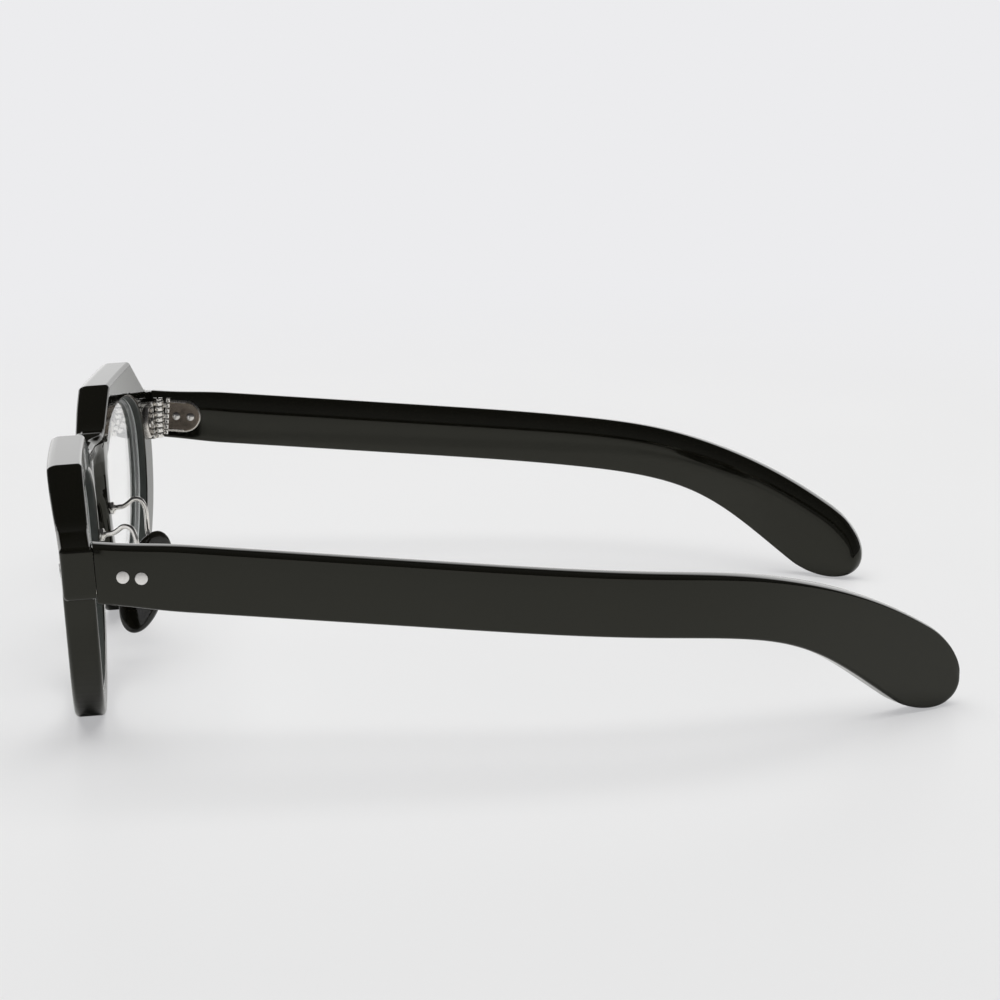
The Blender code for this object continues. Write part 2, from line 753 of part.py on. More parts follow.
def boss_mesh(frame):
    """Return the boss on the pad's back that the screw passes through."""
    low = (PAD_BACK / 2, -BOSS_WIDTH / 2, -BOSS_HALF_HEIGHT)
    high = (PIVOT_REACH + BOSS_BEYOND_PIVOT, BOSS_WIDTH / 2, BOSS_HALF_HEIGHT)
    return block(low, high, frame)


def clip_outline():
    """Return the arm's clip round the boss, as a U seen along the pad."""
    inner = BOSS_WIDTH / 2 + CLIP_CLEARANCE
    outer = inner + CLIP_WALL
    mouth = PAD_BACK + CLIP_PAD_GAP
    floor = PIVOT_REACH + BOSS_BEYOND_PIVOT + CLIP_CLEARANCE
    base = floor + CLIP_WALL
    return [
        Vector((mouth, -outer)),
        Vector((base, -outer)),
        Vector((base, outer)),
        Vector((mouth, outer)),
        Vector((mouth, inner)),
        Vector((floor, inner)),
        Vector((floor, -inner)),
        Vector((mouth, -inner)),
    ]


def clip_depth():
    """Return the distance from the pad's middle plane to the middle of the clip's floor."""
    return PIVOT_REACH + BOSS_BEYOND_PIVOT + CLIP_CLEARANCE + CLIP_WALL / 2


def arm_foot():
    """Return a frame on the rear of the rim where the arm is let in, with Z out of the face."""
    up = LENS_CENTRE.y - ARM_FOOT_DROP
    return front_frame_at(LENS_GAP / 2 - ARM_FOOT_IN, up, 0)


def smooth_path(points):
    """Return points along a smooth curve through given points."""
    guides = [2 * points[0] - points[1], *points, 2 * points[-1] - points[-2]]
    path = []
    for a, b, c, d in zip(guides, guides[1:], guides[2:], guides[3:]):
        for step in range(WIRE_STEPS):
            t = step / WIRE_STEPS
            path.append(0.5 * (
                2 * b + (c - a) * t + (2 * a - 5 * b + 4 * c - d) * t ** 2
                + (3 * b - a - 3 * c + d) * t ** 3
            ))
    return path + [points[-1]]


def arm_mesh(frame):
    """Return the arm's stem, collar and bent wire, as one solid down to the pad's clip."""
    foot = arm_foot()
    stem_levels = (
        (ARM_STEM_RADIUS, -ARM_STEM_DEPTH),
        (ARM_STEM_RADIUS, ARM_COLLAR_GAP),
        *scaled(COLLAR_PROFILE, ARM_COLLAR_RADIUS, ARM_COLLAR_HEIGHT, ARM_COLLAR_GAP),
    )
    rings = [
        [foot @ point for point in circle(radius, level, WIRE_SIDES)] for radius, level in stem_levels
    ]
    base = foot.translation
    bends = [base + Vector(bend) for bend in ARM_BENDS]
    above = frame @ Vector((clip_depth(), 0, ARM_DESCENT))
    inside = frame @ Vector((clip_depth(), 0, CLIP_HALF_HEIGHT / 2))
    path = smooth_path([*bends, above, inside])
    turn = foot.to_3x3()
    for index, here in enumerate(path):
        ahead = path[min(index + 1, len(path) - 1)] - path[max(index - 1, 0)]
        turn = turn.col[2].rotation_difference(ahead).to_matrix() @ turn
        rings.append([here + turn @ point for point in circle(ARM_RADIUS, 0, WIRE_SIDES)])
    return loft(rings)


def arm_hole():
    """Return the cutter for the hole that the arm's stem is let into."""
    radius = ARM_STEM_RADIUS + ARM_HOLE_CLEARANCE
    return turned([(radius, -ARM_STEM_DEPTH - ARM_HOLE_CLEARANCE), (radius, radius)], arm_foot())


def pad_screw_mesh(frame):
    """Return the screw that a pad rocks on."""
    half = BOSS_WIDTH / 2 + CLIP_CLEARANCE + CLIP_WALL
    head = half + PAD_SCREW_CLEARANCE
    profile = [
        (PAD_SCREW_RADIUS, -half),
        (PAD_SCREW_RADIUS, head),
        *scaled(PAD_SCREW_HEAD_PROFILE, PAD_SCREW_HEAD_RADIUS, PAD_SCREW_HEAD_HEIGHT, head),
    ]
    return turned(profile, pivot_frame(frame))


def centre_on_floor(root):
    """Move the whole pair so that the middle of its box stands over the origin."""
    bpy.context.view_layer.update()
    depths = [
        (piece.matrix_world @ vertex.co).y
        for piece in bpy.data.objects if piece.type == "MESH" and not piece.hide_render
        for vertex in piece.data.vertices
    ]
    root.location.y = -(min(depths) + max(depths)) / 2
    bpy.context.view_layer.update()


# Places of the joints, worked out from the front
END_MIDDLE_UP = END_BOTTOM + END_HEIGHT / 2
BUTT_ACROSS = FRONT_HALF - TEMPLE_THICKNESS / 2
END_MIDDLE = front_point(BUTT_ACROSS, END_MIDDLE_UP, 0)
BUTT = front_point(BUTT_ACROSS, END_MIDDLE_UP, TEMPLE_GAP)
HINGE_LEAN = (FRONT_HALF - TEMPLE_THICKNESS) / WRAP_RADIUS
HINGE_ACROSS = FRONT_HALF - TEMPLE_THICKNESS - HINGE_STANDOFF * (1 - HINGE_LEAN)
HINGE_FOOT = front_frame_at(HINGE_ACROSS, END_MIDDLE_UP - HINGE_DROP, 0)
HINGE_PLACE = HINGE_FOOT @ Vector((0, 0, HINGE_STANDOFF))


def temple_leaf_frame():
    """Return a frame on the temple's inner face: X along it from the hinge, Z out of the face."""
    start = temple_frame_at(0)
    along = start.to_3x3().col[2] * -1
    upwards = start.to_3x3().col[1]
    inwards = start.to_3x3().col[0] * -1
    face = start.translation + inwards * TEMPLE_THICKNESS / 2
    face += along * (HINGE_PLACE - face).dot(along)
    return axes_at(face, along, -upwards)


def main():
    """Build every piece of the pair."""
    for piece in list(bpy.data.objects):
        bpy.data.objects.remove(piece, do_unlink=True)

    acetate = finish("black_acetate", (0.012, 0.011, 0.010), 0.08, 0.0)
    steel = finish("polished_metal", (0.72, 0.71, 0.69), 0.18, 1.0)
    pin_metal = finish("satin_pin_metal", (0.62, 0.61, 0.60), 0.35, 1.0)
    lens_plastic = finish("clear_lens", (0.94, 0.95, 0.95), 0.02, 0.0)
    pad_plastic = finish("black_pad_plastic", (0.010, 0.010, 0.010), 0.12, 0.0)

    root = add_empty("eyeglasses", (0, 0, 0), None)
    front = add_object("front_frame", front_mesh(), acetate, root, 1)
    pad = pad_frame()
    pivot = pad @ Vector((PIVOT_REACH, 0, 0))
    temple_leaf = temple_leaf_frame()
    joints = []

    for label, side in (("left", 1), ("right", -1)):
        mirrored = Vector((side, 1, 1))
        temple_hinge = add_empty(f"{label}_temple_hinge", HINGE_PLACE * mirrored, root)
        pad_pivot = add_empty(f"{label}_pad_pivot", pivot * mirrored, root)
        joints += [temple_hinge, pad_pivot]

        add_object(f"{label}_lens", lens_mesh(), lens_plastic, root, side)
        cut_leaf_seat(front, f"{label}_front_leaf", HINGE_FOOT, FRONT_LEAF_LENGTH, FRONT_RIVET_REACHES,
                      FRONT_RIVET_RADIUS, RIM_THICKNESS, side)
        combine(front, f"{label}_arm_hole", arm_hole(), "DIFFERENCE", side)
        add_leaf(f"{label}_front_hinge_leaf", HINGE_FOOT, FRONT_LEAF_LENGTH, FRONT_RIVET_REACHES,
                 0, steel, root, side)
        add_rivets(f"{label}_front_rivet", HINGE_FOOT, FRONT_RIVET_REACHES, FRONT_RIVET_RADIUS,
                   RIM_THICKNESS, pin_metal, root, side)
        add_object(f"{label}_hinge_screw", hinge_screw_mesh(), steel, root, side)

        temple = add_object(f"{label}_temple", temple_mesh(), acetate, temple_hinge, side)
        cut_leaf_seat(temple, f"{label}_temple_leaf", temple_leaf, TEMPLE_LEAF_LENGTH, TEMPLE_RIVET_REACHES,
                      TEMPLE_RIVET_RADIUS, TEMPLE_THICKNESS, side)
        add_leaf(f"{label}_temple_hinge_leaf", temple_leaf, TEMPLE_LEAF_LENGTH, TEMPLE_RIVET_REACHES,
                 1, steel, temple_hinge, side)
        add_rivets(f"{label}_temple_rivet", temple_leaf, TEMPLE_RIVET_REACHES, TEMPLE_RIVET_RADIUS,
                   TEMPLE_THICKNESS, pin_metal, temple_hinge, side)

        arm = add_object(f"{label}_pad_arm", arm_mesh(pad), steel, root, side)
        clip = prism(clip_outline(), -CLIP_HALF_HEIGHT, CLIP_HALF_HEIGHT, pad)
        combine(arm, f"{label}_arm_clip", clip, "UNION", side)
        combine(arm, f"{label}_clip_bore", screw_bore(pad), "DIFFERENCE", side)
        nose_pad = add_object(f"{label}_nose_pad", pad_mesh(pad), pad_plastic, pad_pivot, side)
        combine(nose_pad, f"{label}_pad_boss", boss_mesh(pad), "UNION", side)
        combine(nose_pad, f"{label}_boss_bore", screw_bore(pad), "DIFFERENCE", side)
        add_object(f"{label}_pad_screw", pad_screw_mesh(pad), steel, root, side)

    centre_on_floor(root)
    for joint in joints:
        print(joint.name, [round(value, 6) for value in joint.matrix_world.translation])


main()
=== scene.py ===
"""Eyeglasses in polished black acetate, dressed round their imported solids.

Each piece is remodelled smooth where its solid stands, left side first, and the right side is the
mirror image. Lengths are in metres and angles are in degrees. Shapes are drawn in the table frame
of the source, where the front's rear face is near Y = 0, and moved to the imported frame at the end.
"""

import json
import logging
import math
from dataclasses import dataclass
from enum import Enum, IntEnum
from functools import partial
from typing import Any, Callable, Iterable, Sequence

import bmesh
import bpy
from bmesh.types import BMEdge, BMesh, BMFace, BMVert
from bpy.types import ID, Material, Mesh, Node, NodeSocket, NodeTree, Object
from mathutils import Matrix, Vector


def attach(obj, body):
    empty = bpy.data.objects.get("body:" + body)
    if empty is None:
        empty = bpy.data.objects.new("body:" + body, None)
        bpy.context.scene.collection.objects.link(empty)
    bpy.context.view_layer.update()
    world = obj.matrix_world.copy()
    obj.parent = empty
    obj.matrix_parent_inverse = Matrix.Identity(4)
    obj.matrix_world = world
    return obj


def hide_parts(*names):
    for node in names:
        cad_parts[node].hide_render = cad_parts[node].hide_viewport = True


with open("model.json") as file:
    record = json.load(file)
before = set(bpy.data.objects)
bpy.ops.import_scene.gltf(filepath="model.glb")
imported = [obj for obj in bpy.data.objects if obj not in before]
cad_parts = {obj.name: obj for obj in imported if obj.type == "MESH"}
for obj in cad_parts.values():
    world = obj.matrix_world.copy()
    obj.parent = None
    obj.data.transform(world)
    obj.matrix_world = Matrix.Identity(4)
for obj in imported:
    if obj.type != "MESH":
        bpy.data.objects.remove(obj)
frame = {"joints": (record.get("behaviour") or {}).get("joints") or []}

LOG = logging.getLogger("eyeglasses")
# Shading breaks at edges over the sharp angle, and fillets go on edges over the corner angle
SHARP_ANGLE = 40.0
CORNER_ANGLE = 60.0
# A wall's normal has less of Z than the first share, and a flat face's has more than the second
WALL_SLOPE = 0.01
FACE_SLOPE = 0.98
MERGE_DISTANCE = 1e-7
TURN_STEPS = 36
# Faces across a fillet, and a screw head's fillet as a share of its height
ROUND_SEGMENTS = 4
EDGE_SEGMENTS = 3
TAB_SEGMENTS = 2
HEAD_ROUND = 0.4
# The noise's useful range, and the detail of a buffing haze
NOISE_SPREAD = (0.3, 0.7)
HAZE_DETAIL = 4.0
SRGB_KNEE = 0.04045
SRGB_SLOPE = 12.92
SRGB_OFFSET = 0.055
SRGB_POWER = 2.4


class Side(Enum):
    """The wearer's two sides."""

    LEFT = 1
    RIGHT = -1

    @property
    def label(self) -> str:
        """The side's name, as the solids use it."""
        return self.name.lower()


class FrontSurface(IntEnum):
    """The front's surfaces, by the number of their finish."""

    POLISHED = 0
    MILLED = 1
    LIP = 2


class LensSurface(IntEnum):
    """A lens's surfaces, by the number of their finish."""

    CLEAR = 0
    GROUND = 1


class LeafSurface(IntEnum):
    """A hinge leaf's surfaces, by the number of their finish."""

    EDGE = 0
    FACE = 1
    BARREL = 2


class RivetSurface(IntEnum):
    """A rivet's surfaces, by the number of their finish."""

    DISC = 0
    DOME = 1


def linear(code: str) -> tuple[float, float, float, float]:
    """Turn an sRGB hex colour into linear light.

    Args:
        code: the colour as #rrggbb.

    Returns:
        Red, green, blue and full alpha.
    """
    channels = [int(code[place:place + 2], 16) / 255 for place in (1, 3, 5)]
    red, green, blue = (
        value / SRGB_SLOPE if value <= SRGB_KNEE
        else ((value + SRGB_OFFSET) / (1 + SRGB_OFFSET)) ** SRGB_POWER
        for value in channels)
    return red, green, blue, 1.0


def per_metre(millimetres: float) -> float:
    """Return the texture scale that gives features of a size in millimetres."""
    return 1000 / millimetres


def add_node(tree: NodeTree, kind: str, settings: dict[str, Any] | None = None,
             inputs: dict[Any, Any] | None = None) -> Node:
    """Add a node, with its settings, values and links.

    Args:
        tree: the node tree that gets the node.
        kind: the node's type name.
        settings: attributes of the node.
        inputs: values or output sockets for its inputs, by name or number.

    Returns:
        The new node.
    """
    node = tree.nodes.new(kind)
    for name, value in (settings or {}).items():
        setattr(node, name, value)
    for name, value in (inputs or {}).items():
        if isinstance(value, NodeSocket):
            tree.links.new(value, node.inputs[name])
        else:
            node.inputs[name].default_value = value
    return node


def seen_directly(tree: NodeTree) -> NodeSocket:
    """Return 1 for what a viewer sees, also through a lens, and 0 for light and mirror images."""
    path = add_node(tree, "ShaderNodeLightPath")
    seen = add_node(tree, "ShaderNodeMath", {"operation": "MAXIMUM"}, {
        0: path.outputs["Is Camera Ray"], 1: path.outputs["Is Transmission Ray"]})
    return seen.outputs[0]


@dataclass(frozen=True)
class Finish:
    """A material: its constant sockets, and a pattern that changes colour, gloss and surface.

    A feature is the pattern's size in millimetres, and a height is in metres. Where the second
    colour, the range of gloss or the height isn't given, the pattern leaves that as it is.
    """

    name: str
    slot: str
    colour: str
    roughness: float
    metallic: float = 0.0
    ior: float = 1.5
    transmission: float = 0.0
    specular: float = 0.5
    specular_tint: str = "#ffffff"
    second_colour: str = ""
    gloss: tuple[float, ...] = ()
    feature: float = 1.0
    detail: float = 3.0
    height: float = 0.0
    haze_feature: float = 0.0

    def material(self) -> Material:
        """Return the material, made on first use."""
        if self.name in bpy.data.materials:
            return bpy.data.materials[self.name]
        material = bpy.data.materials.new(self.name)
        material.use_nodes = True
        shader = material.node_tree.nodes["Principled BSDF"]
        sockets = {
            "Base Color": linear(self.colour),
            "Roughness": self.roughness,
            "Metallic": self.metallic,
            "IOR": self.ior,
            "Transmission Weight": self.transmission,
            "Specular IOR Level": self.specular,
            "Specular Tint": linear(self.specular_tint),
        }
        for name, value in sockets.items():
            shader.inputs[name].default_value = value
        self.dress(material.node_tree, shader)
        return material

    def noise(self, tree: NodeTree, feature: float, detail: float) -> NodeSocket:
        """Return noise on object coordinates, with features of a size in millimetres."""
        place = add_node(tree, "ShaderNodeTexCoord")
        grain = add_node(tree, "ShaderNodeTexNoise", None, {
            "Vector": place.outputs["Object"], "Scale": per_metre(feature), "Detail": detail})
        return grain.outputs["Fac"]

    def dress(self, tree: NodeTree, shader: Node) -> None:
        """Add the finish's pattern to its shader."""
        marks = self.noise(tree, self.feature, self.detail)
        if self.second_colour:
            mixed = add_node(tree, "ShaderNodeMix", {"data_type": "RGBA"}, {
                0: marks, 6: linear(self.colour), 7: linear(self.second_colour)})
            tree.links.new(mixed.outputs[2], shader.inputs["Base Color"])
        if self.gloss:
            haze = self.noise(tree, self.haze_feature, HAZE_DETAIL) if self.haze_feature else marks
            spread = add_node(tree, "ShaderNodeMapRange", None, {
                "Value": haze, "From Min": NOISE_SPREAD[0], "From Max": NOISE_SPREAD[1],
                "To Min": self.gloss[0], "To Max": self.gloss[1]})
            tree.links.new(spread.outputs["Result"], shader.inputs["Roughness"])
        if self.height:
            raised = add_node(tree, "ShaderNodeBump", None, {"Height": marks, "Distance": self.height})
            tree.links.new(raised.outputs["Normal"], shader.inputs["Normal"])


@dataclass(frozen=True)
class PolishedAcetate(Finish):
    """Cellulose acetate sheet, milled and tumble polished: deep black with faintly wavy reflections.

    The sheet's slight colour change and the polished waves are slow, and the buffing haze is finer.
    """

    second_colour: str = "#12110c"
    gloss: tuple[float, ...] = (0.035, 0.080)
    feature: float = 11.0
    detail: float = 1.0
    height: float = 0.000012
    haze_feature: float = 2.5


@dataclass(frozen=True)
class MilledAcetate(Finish):
    """Acetate as the cutter leaves it inside the lens openings: dull, with fine tool marks."""

    feature: float = 0.35
    height: float = 0.000008


@dataclass(frozen=True)
class ClearLens(Finish):
    """Cast lens resin: water clear, with the least trace of wiping on its surface."""

    gloss: tuple[float, ...] = (0.0, 0.012)
    feature: float = 6.0


@dataclass(frozen=True)
class GroundEdge(Finish):
    """The lens resin's edge as it is ground: frosted, so that it shows as a grey band in the rim."""

    feature: float = 0.25
    height: float = 0.00001


@dataclass(frozen=True)
class NickelSilver(Finish):
    """Nickel silver, stamped or drawn and then polished: bright, with fine handling marks."""

    metallic: float = 1.0
    feature: float = 0.45
    detail: float = 5.0


@dataclass(frozen=True)
class PadPlastic(Finish):
    """Injection moulded nose pad plastic: black and smooth, a little softer than the front's polish."""

    gloss: tuple[float, ...] = (0.06, 0.12)
    feature: float = 0.6
    height: float = 0.000002


@dataclass(frozen=True)
class TableTop(Finish):
    """White lacquered board: half gloss, so that it mirrors what stands on it faintly, and even far away."""

    gloss: tuple[float, ...] = (0.30, 0.38)
    feature: float = 90.0
    detail: float = 2.0
    far_colour: str = "#ececee"
    lit_reach: tuple[float, float] = (0.20, 0.50)
    even_share: float = 0.5

    def dress(self, tree: NodeTree, shader: Node) -> None:
        """Add the lacquer's slow change of gloss, and the pale far ground that a viewer sees."""
        super().dress(tree, shader)
        place = add_node(tree, "ShaderNodeTexCoord")
        distance = add_node(tree, "ShaderNodeVectorMath", {"operation": "LENGTH"}, {
            0: place.outputs["Object"]})
        far = add_node(tree, "ShaderNodeMapRange", {"interpolation_type": "SMOOTHSTEP"}, {
            "Value": distance.outputs["Value"], "From Min": self.lit_reach[0], "From Max": self.lit_reach[1],
            "To Min": self.even_share})
        share = add_node(tree, "ShaderNodeMath", {"operation": "MULTIPLY"}, {
            0: far.outputs["Result"], 1: seen_directly(tree)})
        ground = add_node(tree, "ShaderNodeEmission", None, {"Color": linear(self.far_colour)})
        both = add_node(tree, "ShaderNodeMixShader", None, {
            0: share.outputs[0], 1: shader.outputs[0], 2: ground.outputs[0]})
        tree.links.new(both.outputs[0], tree.nodes["Material Output"].inputs["Surface"])


ACETATE = PolishedAcetate(
    "polished_black_acetate", "acetate", "#0d0d09", 0.04, ior=1.47, specular_tint="#fffff1")
# The milled wall is dull, and its grey is partly that dull cut surface and partly painted sheen
MILLED_ACETATE_SHEEN = MilledAcetate("milled_black_acetate", "acetate", "#3a3e3b", 0.38, ior=1.47)
# The groove's lips are painted pale on thin faces, as lines of painted highlight along its edges
GROOVE_LIP_HIGHLIGHT = MilledAcetate("burnished_groove_lip", "acetate", "#d5d9d7", 0.30, ior=1.47)
LENS_RESIN = ClearLens("clear_lens_resin", "lens", "#ffffff", 0.0, ior=1.50, transmission=1.0)
LENS_EDGE = GroundEdge("ground_lens_resin", "lens", "#c6c8c6", 0.55, ior=1.50, transmission=0.6)
# Barrels, screws and wire are polished bright
HINGE_METAL = NickelSilver(
    "polished_nickel_silver", "hinge_metal", "#f7f5f1", 0.08,
    second_colour="#e6e3de", height=0.000002, gloss=(0.05, 0.12))
# A leaf's rolled edges are as the stamp leaves them, soft and pale
LEAF_METAL = NickelSilver(
    "stamped_nickel_silver", "hinge_metal", "#e2dfda", 0.30,
    second_colour="#cfcac3", feature=0.4, height=0.000006, gloss=(0.22, 0.36))
# A leaf's flat face is painted darker, as painted shade for the dark reflection that it shows, so that the
# rivets' domes stand out on it
LEAF_FACE_SHADE = NickelSilver(
    "darkened_nickel_silver", "hinge_metal", "#8a8076", 0.16,
    second_colour="#6f665d", feature=0.9, height=0.000002, gloss=(0.12, 0.22))
# The rivets' discs are ground flush, which leaves a pale satin
RIVET_METAL = NickelSilver(
    "satin_rivet_metal", "rivet_metal", "#fcfaf8", 0.36,
    second_colour="#f2efed", feature=0.2, height=0.000004, gloss=(0.32, 0.40))
# The rivets' domes are set by a polished punch
DOME_METAL = NickelSilver(
    "polished_rivet_metal", "rivet_metal", "#dedcd9", 0.07,
    second_colour="#d0cdc9", feature=0.2, height=0.000001, gloss=(0.05, 0.10))
PAD_PLASTIC = PadPlastic("moulded_black_plastic", "pad_plastic", "#161510", 0.08)
TABLE = TableTop("white_lacquer", "table", "#eeeeec", 0.34, specular=0.03)


def smooth_rise(share: float) -> float:
    """Return a rise from 0 to 1 that starts and ends without a kink."""
    share = min(max(share, 0), 1)
    return share ** 3 * (share * (6 * share - 15) + 10)


def axes_at(origin: Vector, x_axis: Vector, y_axis: Vector) -> Matrix:
    """Return the matrix of a frame with two given axes.

    Args:
        origin: the frame's origin.
        x_axis: its first axis.
        y_axis: its second axis, square to the first.

    Returns:
        The frame, whose third axis is the cross product of the two.
    """
    axes = Matrix((x_axis, y_axis, x_axis.cross(y_axis))).transposed().to_4x4()
    axes.translation = origin
    return axes


def squarish(angle: float, width: float, height: float, power: float) -> Vector:
    """Return the point of a squarish oval at an angle.

    Args:
        angle: the angle in radians.
        width: half the oval's width.
        height: half its height.
        power: 2 for an ellipse, and more for a squarer oval.

    Returns:
        The point, from the oval's middle.
    """
    across = math.cos(angle)
    up = math.sin(angle)
    return Vector((
        width * math.copysign(abs(across) ** (2 / power), across),
        height * math.copysign(abs(up) ** (2 / power), up),
    ))


def rounded(corners: Sequence[tuple[float, float, float]], steps: int) -> list[Vector]:
    """Draw a path through corners, with arcs where a radius isn't zero.

    Args:
        corners: each corner's place across and up, and its radius.
        steps: the segments of each arc.

    Returns:
        The points of the path.
    """
    points: list[Vector] = []
    for index, (across, up, radius) in enumerate(corners):
        here = Vector((across, up))
        if radius == 0:
            points.append(here)
            continue
        before = (Vector(corners[index - 1][:2]) - here).normalized()
        after = (Vector(corners[index + 1][:2]) - here).normalized()
        half_angle = before.angle(after) / 2
        middle = here + (before + after).normalized() * radius / math.sin(half_angle)
        reach = radius / math.tan(half_angle)
        start = here + before * reach - middle
        finish = here + after * reach - middle
        points += [middle + start.slerp(finish, step / steps) * radius for step in range(steps + 1)]
    return points


def bevel(mesh: BMesh, edges: Iterable[BMEdge], width: float, segments: int) -> None:
    """Round off edges of a mesh.

    Args:
        mesh: the mesh to change.
        edges: the edges to round.
        width: the fillet's reach from each edge.
        segments: the faces across the fillet.
    """
    bmesh.ops.bevel(
        mesh, geom=list(edges), offset=width, offset_type="OFFSET", segments=segments, profile=0.5,
        affect="EDGES", clamp_overlap=False, material=-1)


def sharp_edges(mesh: BMesh) -> list[BMEdge]:
    """Return the edges at which a mesh turns outwards like a corner."""
    bmesh.ops.recalc_face_normals(mesh, faces=mesh.faces)
    limit = math.radians(CORNER_ANGLE)
    return [edge for edge in mesh.edges if edge.is_manifold and edge.calc_face_angle_signed(0) > limit]


def cut(mesh: BMesh, place: Sequence[float], normal: Sequence[float], faces: Sequence[BMFace] = (),
        clear: bool = False) -> None:
    """Cut a mesh along a plane.

    Args:
        mesh: the mesh to change.
        place: a point of the plane.
        normal: the plane's normal.
        faces: the faces that are cut, or none for all of them.
        clear: whether what lies beyond the plane is taken away.
    """
    edges = dict.fromkeys(edge for face in faces for edge in face.edges) or mesh.edges
    points = dict.fromkeys(point for face in faces for point in face.verts) or mesh.verts
    bmesh.ops.bisect_plane(
        mesh, geom=[*points, *edges, *(faces or mesh.faces)], dist=MERGE_DISTANCE,
        plane_co=place, plane_no=normal, clear_outer=clear)


def thicken(mesh: BMesh, depth: float) -> None:
    """Extrude a flat mesh along Z."""
    raised = bmesh.ops.extrude_face_region(mesh, geom=mesh.faces[:])
    moved = [item for item in raised["geom"] if isinstance(item, BMVert)]
    bmesh.ops.translate(mesh, vec=(0, 0, depth), verts=moved)


def slab(outline: Sequence[Vector], low: float, high: float) -> BMesh:
    """Extrude an outline between two heights.

    Args:
        outline: the outline in the XY plane.
        low: the height of its lower face.
        high: the height of its upper face.

    Returns:
        The closed slab.
    """
    mesh = bmesh.new()
    corners = [mesh.verts.new((point.x, point.y, low)) for point in outline]
    bmesh.ops.contextual_create(mesh, geom=corners)
    thicken(mesh, high - low)
    return mesh


def block(low: Sequence[float], high: Sequence[float]) -> BMesh:
    """Return a box between two corners."""
    mesh = bmesh.new()
    bmesh.ops.create_cube(mesh, size=1)
    size = Vector(high) - Vector(low)
    middle = (Vector(high) + Vector(low)) / 2
    bmesh.ops.scale(mesh, vec=size, verts=mesh.verts)
    bmesh.ops.translate(mesh, vec=middle, verts=mesh.verts)
    return mesh


def turned(profile: Sequence[tuple[float, float]]) -> BMesh:
    """Turn a profile of radii and heights round the Z axis, and return the turned body."""
    mesh = bmesh.new()
    points = [mesh.verts.new((radius, 0, height)) for radius, height in profile]
    edges = [mesh.edges.new(pair) for pair in zip(points, points[1:])]
    bmesh.ops.spin(
        mesh, geom=points + edges, cent=(0, 0, 0), axis=(0, 0, 1), angle=2 * math.pi, steps=TURN_STEPS,
        use_merge=True)
    bmesh.ops.remove_doubles(mesh, verts=mesh.verts, dist=MERGE_DISTANCE)
    return mesh


def bar(sides: int, stations: int, place: Callable[[int, int], Vector]) -> BMesh:
    """Shape a straight bar into a drawn body.

    Args:
        sides: the points round the bar.
        stations: the lengths that the bar is cut into.
        place: gives the place of each point, by its number round the bar and its station.

    Returns:
        The closed body.
    """
    mesh = bmesh.new()
    bmesh.ops.create_cone(mesh, cap_ends=True, segments=sides, radius1=1, radius2=1, depth=1)
    rails = [edge for edge in mesh.edges if abs(edge.verts[0].co.z - edge.verts[1].co.z) > 0.5]
    bmesh.ops.subdivide_edges(mesh, edges=rails, cuts=stations - 1, use_grid_fill=True)
    for vertex in mesh.verts:
        turn = math.atan2(vertex.co.y, vertex.co.x) / (2 * math.pi)
        vertex.co = place(round(turn * sides) % sides, round((vertex.co.z + 0.5) * stations))
    bmesh.ops.remove_doubles(mesh, verts=mesh.verts, dist=MERGE_DISTANCE)
    return mesh


def stored(name: str, mesh: BMesh) -> Mesh:
    """Return a mesh as Blender keeps it, and free the one that was worked on."""
    data = bpy.data.meshes.new(name)
    mesh.to_mesh(data)
    mesh.free()
    return data


def add_object(name: str, data: ID) -> Object:
    """Add an object to the scene."""
    item = bpy.data.objects.new(name, data)
    bpy.context.scene.collection.objects.link(item)
    return item


def joined(meshes: Iterable[BMesh]) -> BMesh:
    """Return one mesh that holds several, and free those."""
    whole = bmesh.new()
    for mesh in meshes:
        data = stored("part", mesh)
        whole.from_mesh(data)
        bpy.data.meshes.remove(data)
    return whole


def surfaced(mesh: BMesh, surface: IntEnum) -> BMesh:
    """Give every face of a mesh one of its piece's finishes and return it."""
    for face in mesh.faces:
        face.material_index = surface
    return mesh


def placed(mesh: BMesh, where: Matrix) -> BMesh:
    """Move a mesh into a frame and return it."""
    mesh.transform(where)
    return mesh


def smooth_path(points: Sequence[Vector], steps: int) -> list[Vector]:
    """Draw a smooth curve through points.

    Args:
        points: the points that the curve passes.
        steps: the stretches between two of them.

    Returns:
        The points of the curve.
    """
    guides = [2 * points[0] - points[1], *points, 2 * points[-1] - points[-2]]
    path = []
    for a, b, c, d in zip(guides, guides[1:], guides[2:], guides[3:]):
        for step in range(steps):
            t = step / steps
            square = (2 * a - 5 * b + 4 * c - d) * t ** 2
            cube = (3 * b - a - 3 * c + d) * t ** 3
            path.append(0.5 * (2 * b + (c - a) * t + square + cube))
    return path + [points[-1]]


